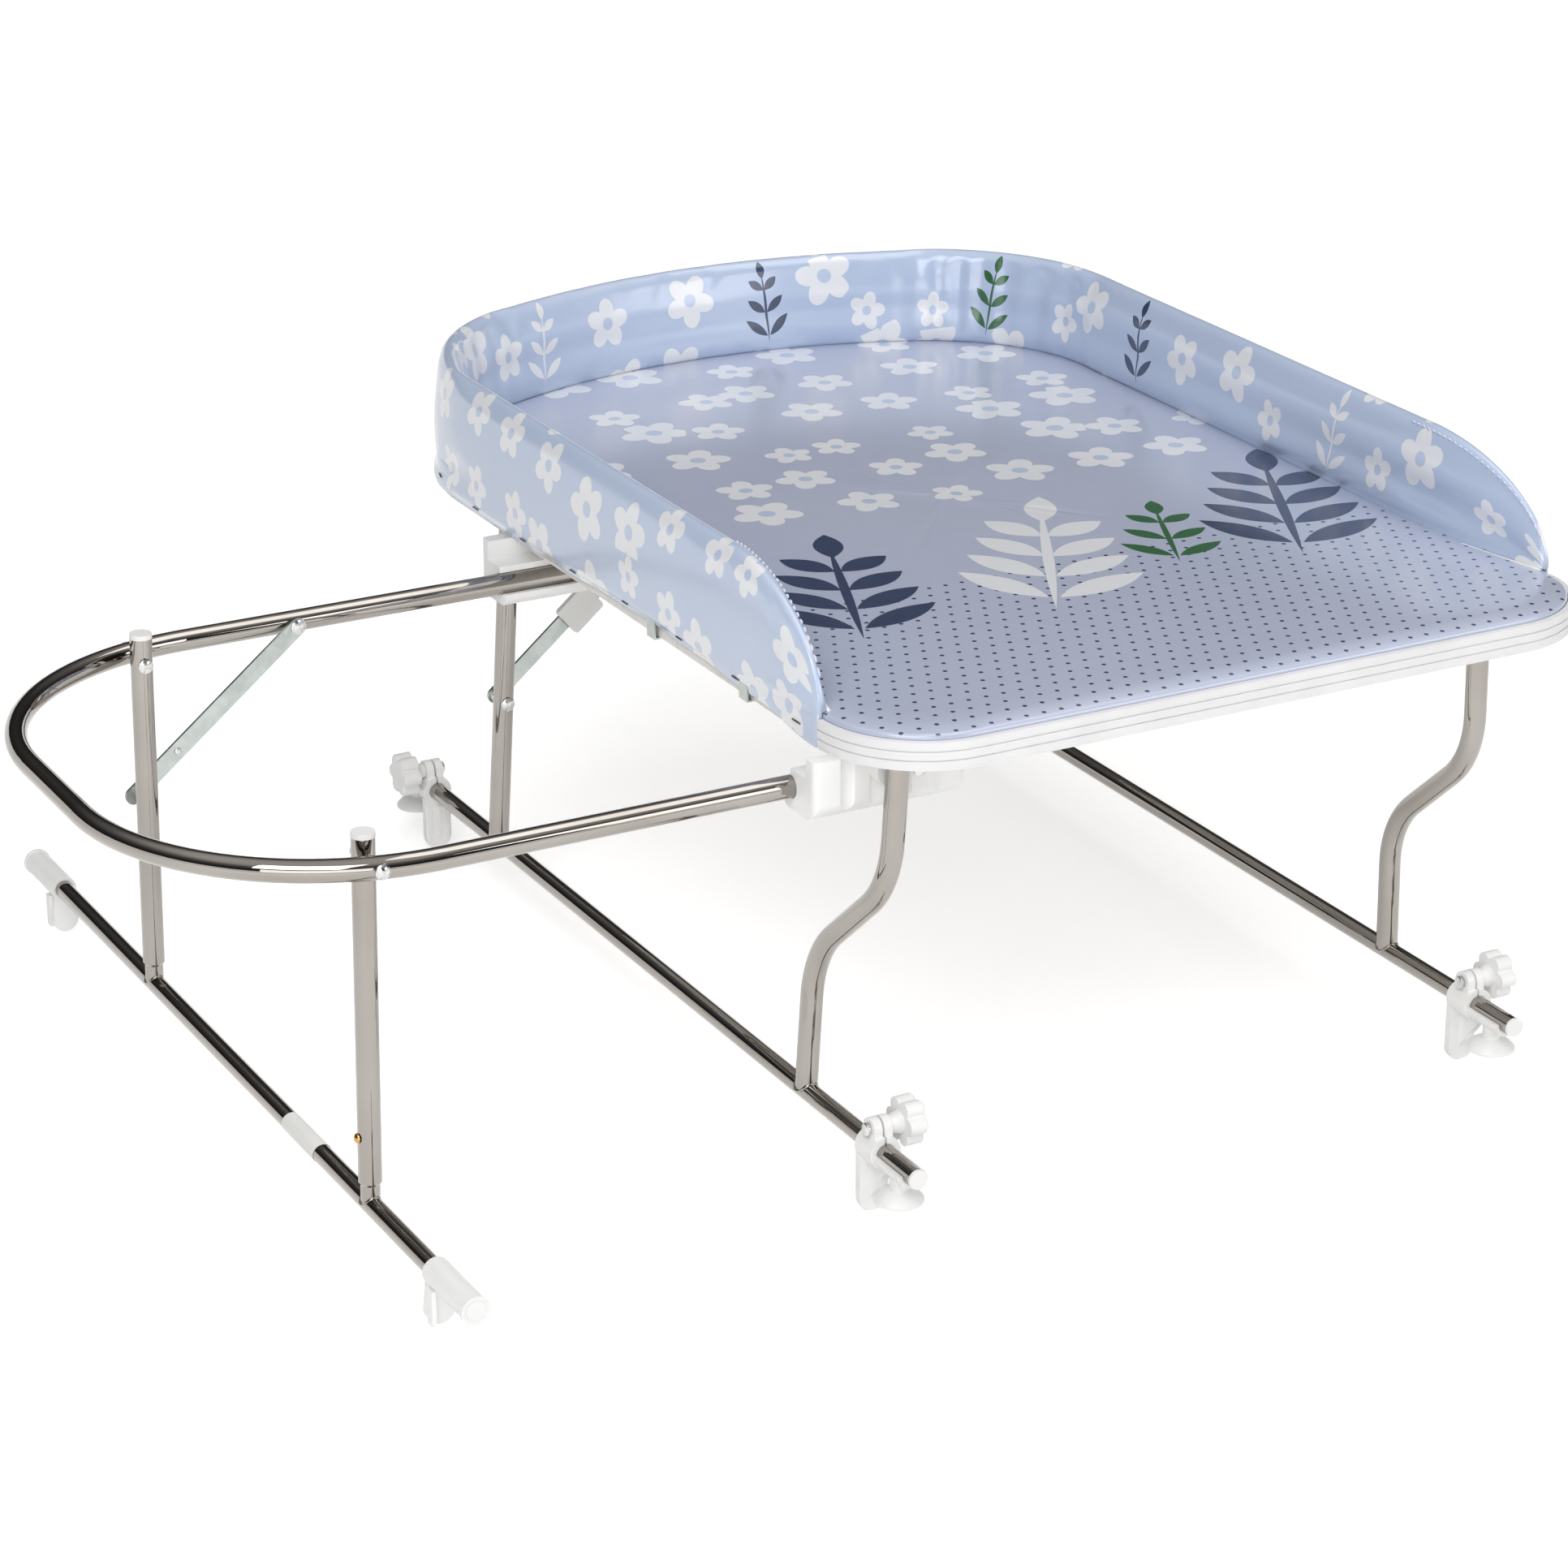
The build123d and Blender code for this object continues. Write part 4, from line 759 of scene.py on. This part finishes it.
def build_pad():
    """The pad's mesh, and the indices of the points held at its lower edge."""
    bm = bmesh.new()
    low, high = pad_low[2] + 0.0004, pad_z
    side = (
        (-0.0006, low),
        (-0.0002, low + 0.0015),
        (-0.0004, high - 0.0022),
        (-0.0012, high - 0.0009),
        (-PAD_INSET, high - 0.0002),
    )
    rings = []
    for grow, z in side:
        rings.append([bm.verts.new((x, y, z)) for x, y in pad_outline(grow)])
    cx, cy = mid_x, (near_y + back_y) / 2
    flat = pad_outline(-PAD_INSET)
    for k in range(1, PAD_RINGS):
        t = 1 - k / PAD_RINGS
        rings.append([bm.verts.new((cx + (x - cx) * t, cy + (y - cy) * t, high)) for x, y in flat])
    bridge(bm, rings)
    hub = bm.verts.new((cx, cy, high))
    last = rings[-1]
    for a, b in zip(last, last[1:] + last[:1]):
        bm.faces.new((a, b, hub))
    bm.faces.new(list(reversed(rings[0])))
    face_outward(bm)
    bm.verts.index_update()
    pins = [v.index for ring in rings[:2] for v in ring]
    return new_object("pad_cover", bm, pad_cover()), pins


pad, pad_pins = build_pad()
swell(pad, pad_pins, pressure=0.6, frames=8, cap=0.0012, shrink=0.0)
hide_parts("table_pad")


# Staples, seams and piping, placed on the finished rim
def on_rim(row, spot, lift):
    """Point and outward normal of the finished rim at one row and one place of its section."""
    v = rim.data.vertices[row * RIM_COUNT + spot]
    return v.co + v.normal * lift, v.normal


def staple(bm, at, out):
    """Crown of a staple, lying along the edge and let into the cover."""
    rings = []
    for along in (-STAPLE_HALF, STAPLE_HALF):
        ring = []
        for k in range(6):
            a = 2 * math.pi * k / 6
            off = STAPLE_WIRE * math.cos(a)
            rise = STAPLE_WIRE * math.sin(a)
            x = at.x - out.y * along + out.x * off
            y = at.y + out.x * along + out.y * off
            ring.append(bm.verts.new((x, y, at.z + rise)))
        rings.append(ring)
    tube(bm, rings)


def build_staples():
    bm = bmesh.new()
    for row in range(FIRST_STAPLE_ROW, RIM_ROWS - 3, round(STAPLE_PITCH / ROW_STEP)):
        at, out = on_rim(row, SKIRT_SPOT, 0.0003)
        staple(bm, at, out)
    new_object("cover_staples", bm, DARK)


def stitch(bm, a, b):
    """One short thread between two points, humped in its middle."""
    along = (b - a).normalized()
    side = along.cross(Vector((0, 0, 1))).normalized()
    up = side.cross(along)
    rings = []
    for k in range(5):
        t = k / 4
        hump = math.sin(math.pi * t)
        r = THREAD_R * (0.45 + 0.55 * hump)
        c = a.lerp(b, t) + up * THREAD_R * 0.6 * hump
        ring = []
        for j in range(6):
            q = math.pi * j / 3
            ring.append(bm.verts.new(c + side * r * math.cos(q) + up * r * math.sin(q)))
        rings.append(ring)
    tube(bm, rings)


def build_seams():
    bm = bmesh.new()
    for first, way in ((1, 1), (RIM_ROWS - 2, -1)):
        for k in range(SEAM_STITCHES):
            a = on_rim(first + way * k, SEAM_SPOT, 0.0004)[0]
            b = on_rim(first + way * (k + 1), SEAM_SPOT, 0.0004)[0]
            stitch(bm, a.lerp(b, 0.1), a.lerp(b, 0.75))
    face_outward(bm)
    new_object("end_seams", bm, THREAD)


def piping(bm, rows):
    """Low half-round strip on the pad along the inner foot of the rim, with sunk ends."""
    rings = []
    for k, row in enumerate(rows):
        foot = rim.data.vertices[row * RIM_COUNT].co
        out = -1.0 if foot.x < mid_x else 1.0
        high = PIPING_HIGH * (0.35 if k in (0, len(rows) - 1) else 1.0)
        ring = []
        for j in range(9):
            a = math.pi * j / 8
            x = foot.x - out * (0.0012 + PIPING_HALF * math.cos(a))
            ring.append(bm.verts.new((x, foot.y, pad_z + 0.0002 + high * math.sin(a))))
        rings.append(ring)
    tube(bm, rings)


def build_piping():
    bm = bmesh.new()
    piping(bm, range(0, PIPING_ROWS))
    piping(bm, range(RIM_ROWS - PIPING_ROWS, RIM_ROWS))
    face_outward(bm)
    new_object("end_piping", bm, PLASTIC)


build_staples()
build_seams()
build_piping()


# Weld beads, a rivet and the blank label on the tubes and stays
WELD_RISE = 0.0072
WELD_LEAN = -0.0065
POST_WELD_R = 0.0067
LEG_WELD_R = 0.0079


def ring_weld(name, centre, radius, body):
    """Lumpy weld bead round the foot of a leg, lower at its two sides, where the tube falls away."""
    bm = bmesh.new()
    count, around = 28, 8
    rings = []
    for k in range(count):
        a = 2 * math.pi * k / count
        fat = 0.0012 + 0.00035 * math.sin(5 * a) + 0.0002 * math.sin(11 * a + 1)
        z = centre[2] + WELD_LEAN * math.cos(a) ** 2
        ring = []
        for j in range(around):
            b = 2 * math.pi * j / around
            r = radius + fat * math.cos(b)
            x = centre[0] + r * math.cos(a)
            y = centre[1] + r * math.sin(a)
            ring.append(bm.verts.new((x, y, z + fat * math.sin(b))))
        rings.append(ring)
    bridge(bm, rings + rings[:1])
    face_outward(bm)
    new_object(name, bm, CHROME, body)


def middle_of(node):
    low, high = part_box(node)
    return [(a + b) / 2 for a, b in zip(low, high)]


def build_welds(body, cross_tube, legs, radius):
    """A bead where each leg stands on its cross tube."""
    x, _, z = middle_of(cross_tube)
    for leg in legs:
        foot = [v.co.y for v in frame["nodes"][leg].data.vertices if v.co.z < z + 0.02]
        y = (min(foot) + max(foot)) / 2
        ring_weld(leg + "_weld", (x, y, z + WELD_RISE), radius, body)


def build_brace_rivet():
    """Low dome on the near face of the front stay, most of the way to its hook."""
    share, radius, rise = 0.76, 0.0030, 0.0014
    start, end = middle_of("brace_rivet"), middle_of("latch_pin")
    x = start[0] + (end[0] - start[0]) * share
    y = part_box("front_brace")[0][1] + 0.0001
    z = start[2] + (end[2] - start[2]) * share
    bm = bmesh.new()
    rings = []
    for k in range(5):
        a = math.pi / 2 * k / 5
        r = radius * math.cos(a)
        ring = []
        for j in range(20):
            t = math.pi * j / 10
            ring.append(bm.verts.new((x + r * math.cos(t), y - rise * math.sin(a), z + r * math.sin(t))))
        rings.append(ring)
    tube(bm, rings)
    face_outward(bm)
    new_object("front_brace_rivet", bm, STEEL, "front_stay")


def build_label():
    """Blank label wrapped round the front cross tube."""
    start, width, radius, around = 0.2445, 0.055, 0.00718, 40
    x, _, z = middle_of("front_cross_tube")
    first_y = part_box("front_cross_tube")[0][1] + start
    bm = bmesh.new()
    rings = []
    for k in range(9):
        y = first_y + width * k / 8
        ring = []
        for j in range(around):
            a = 2 * math.pi * j / around
            ring.append(bm.verts.new((x + radius * math.cos(a), y, z + radius * math.sin(a))))
        rings.append(ring)
    bridge(bm, rings)
    face_outward(bm)
    new_object("tube_label", bm, LABEL, "front_frame")


build_welds("front_frame", "front_cross_tube", ("front_post_near", "front_post_far"), POST_WELD_R)
build_welds("middle_frame", "middle_cross_tube", ("middle_s_leg", "middle_straight_leg"), LEG_WELD_R)
build_welds("rear_frame", "rear_cross_tube", ("rear_s_leg", "rear_straight_leg"), LEG_WELD_R)
build_brace_rivet()
build_label()


# Floor, light and camera
SWEEP = ((28.0, 0.0), (34.0, 0.35), (39.0, 1.5), (43.0, 3.8), (45.0, 6.6))
SWEEP_SIDES = 64
FLOOR_Z = -0.0003
GLOW_START, GLOW_END = 1.4, 6.0
GLOW_NEAR, GLOW_FAR = 0.47, 0.74


def floor_finish():
    """Pale matt floor that looks white far off, and keeps the object's shadow near by."""
    m = Mat("floor", (0.93, 0.93, 0.93), 0.9)
    tones = [(0.3, (0.925, 0.925, 0.925)), (0.7, (0.94, 0.94, 0.94))]
    m.set("Base Color", m.ramp(m.noise(m.coords(), 1.2, 2), tones))
    m.set("Specular IOR Level", 0.0)
    m.set("Emission Color", (1, 1, 1, 1))
    path = m.node("ShaderNodeLightPath").outputs
    seen = m.plus(path["Is Camera Ray"], path["Is Glossy Ray"])
    seen = m.math("ADD", seen, path["Is Transmission Ray"], clamp=True)
    far = m.node("ShaderNodeVectorMath", operation="LENGTH")
    m.put(far.inputs[0], m.coords())
    glow = m.span(far.outputs["Value"], GLOW_START, GLOW_END, GLOW_NEAR, GLOW_FAR)
    m.set("Emission Strength", m.times(seen, glow))
    return m.mat


def build_floor():
    """A wide floor that turns up far away, so that low views have a pale background too."""
    points = []
    for radius, rise in SWEEP:
        for k in range(SWEEP_SIDES):
            a = 2 * math.pi * k / SWEEP_SIDES
            points.append((radius * math.cos(a), radius * math.sin(a), rise))
    faces = [tuple(range(SWEEP_SIDES))]
    for first in range(0, len(points) - SWEEP_SIDES, SWEEP_SIDES):
        for k in range(SWEEP_SIDES):
            here = first + k
            beside = first + (k + 1) % SWEEP_SIDES
            faces.append((here, here + SWEEP_SIDES, beside + SWEEP_SIDES, beside))
    mesh = bpy.data.meshes.new("floor")
    mesh.from_pydata(points, [], faces)
    mesh.materials.append(floor_finish())
    floor = bpy.data.objects.new("floor", mesh)
    bpy.context.scene.collection.objects.link(floor)
    floor.location.z = FLOOR_Z


def build_world():
    """Studio that is dark round the sides and bright overhead, which gives the chrome its stripes."""
    world = bpy.data.worlds.new("studio")
    bpy.context.scene.world = world
    world.use_nodes = True
    nodes, links = world.node_tree.nodes, world.node_tree.links
    coord = nodes.new("ShaderNodeTexCoord")
    split = nodes.new("ShaderNodeSeparateXYZ")
    ramp = nodes.new("ShaderNodeValToRGB")
    levels = ((0.0, 0.04), (0.22, 0.025), (0.45, 0.055), (0.65, 0.19), (0.85, 0.64), (1.0, 0.80))
    set_stops(ramp.color_ramp, [(up, (level, level * 0.985, level * 0.97)) for up, level in levels])
    links.new(coord.outputs["Generated"], split.inputs[0])
    links.new(split.outputs["Z"], ramp.inputs["Fac"])
    links.new(ramp.outputs["Color"], nodes["Background"].inputs["Color"])
    nodes["Background"].inputs["Strength"].default_value = 1.0


def lamp(name, place, aim, size, power):
    """Soft rectangular lamp, its power in watts."""
    data = bpy.data.lights.new(name, "AREA")
    data.shape = "RECTANGLE"
    data.size, data.size_y = size
    data.energy = power
    obj = bpy.data.objects.new(name, data)
    obj.location = place
    obj.rotation_euler = (Vector(aim) - Vector(place)).to_track_quat("-Z", "Y").to_euler()
    bpy.context.scene.collection.objects.link(obj)


# Camera fitted to the photo: its place, how far it looks down and to the right, and its focal length
CAMERA_PLACE = (-1.37983, -2.68117, 1.40261)
CAMERA_DOWN = 0.388489
CAMERA_RIGHT = 0.497818
FOCAL_PIXELS = 5391.66
FRAME_PIXELS = 1932
SENSOR = 36.0


def build_camera():
    data = bpy.data.cameras.new("camera")
    data.sensor_width = SENSOR
    data.lens = SENSOR * FOCAL_PIXELS / FRAME_PIXELS
    camera = bpy.data.objects.new("camera", data)
    bpy.context.scene.collection.objects.link(camera)
    camera.location = CAMERA_PLACE
    camera.rotation_euler = (math.pi / 2 - CAMERA_DOWN, 0.0, -CAMERA_RIGHT)
    bpy.context.scene.camera = camera


TABLE_MIDDLE = (0.1, 0.0, 0.3)
build_floor()
build_world()
lamp("key", (-1.6, -1.8, 2.6), TABLE_MIDDLE, (1.8, 1.8), 46)
lamp("fill", (1.7, -2.5, 1.35), TABLE_MIDDLE, (1.8, 1.2), 20.5)
lamp("front", (-2.0, -3.0, 1.15), TABLE_MIDDLE, (2.6, 1.3), 28.5)
lamp("top", (0.8, -0.1, 2.8), (0.2, 0.1, 0.3), (1.8, 1.2), 13)
build_camera()
bpy.context.scene.view_settings.view_transform = "Standard"
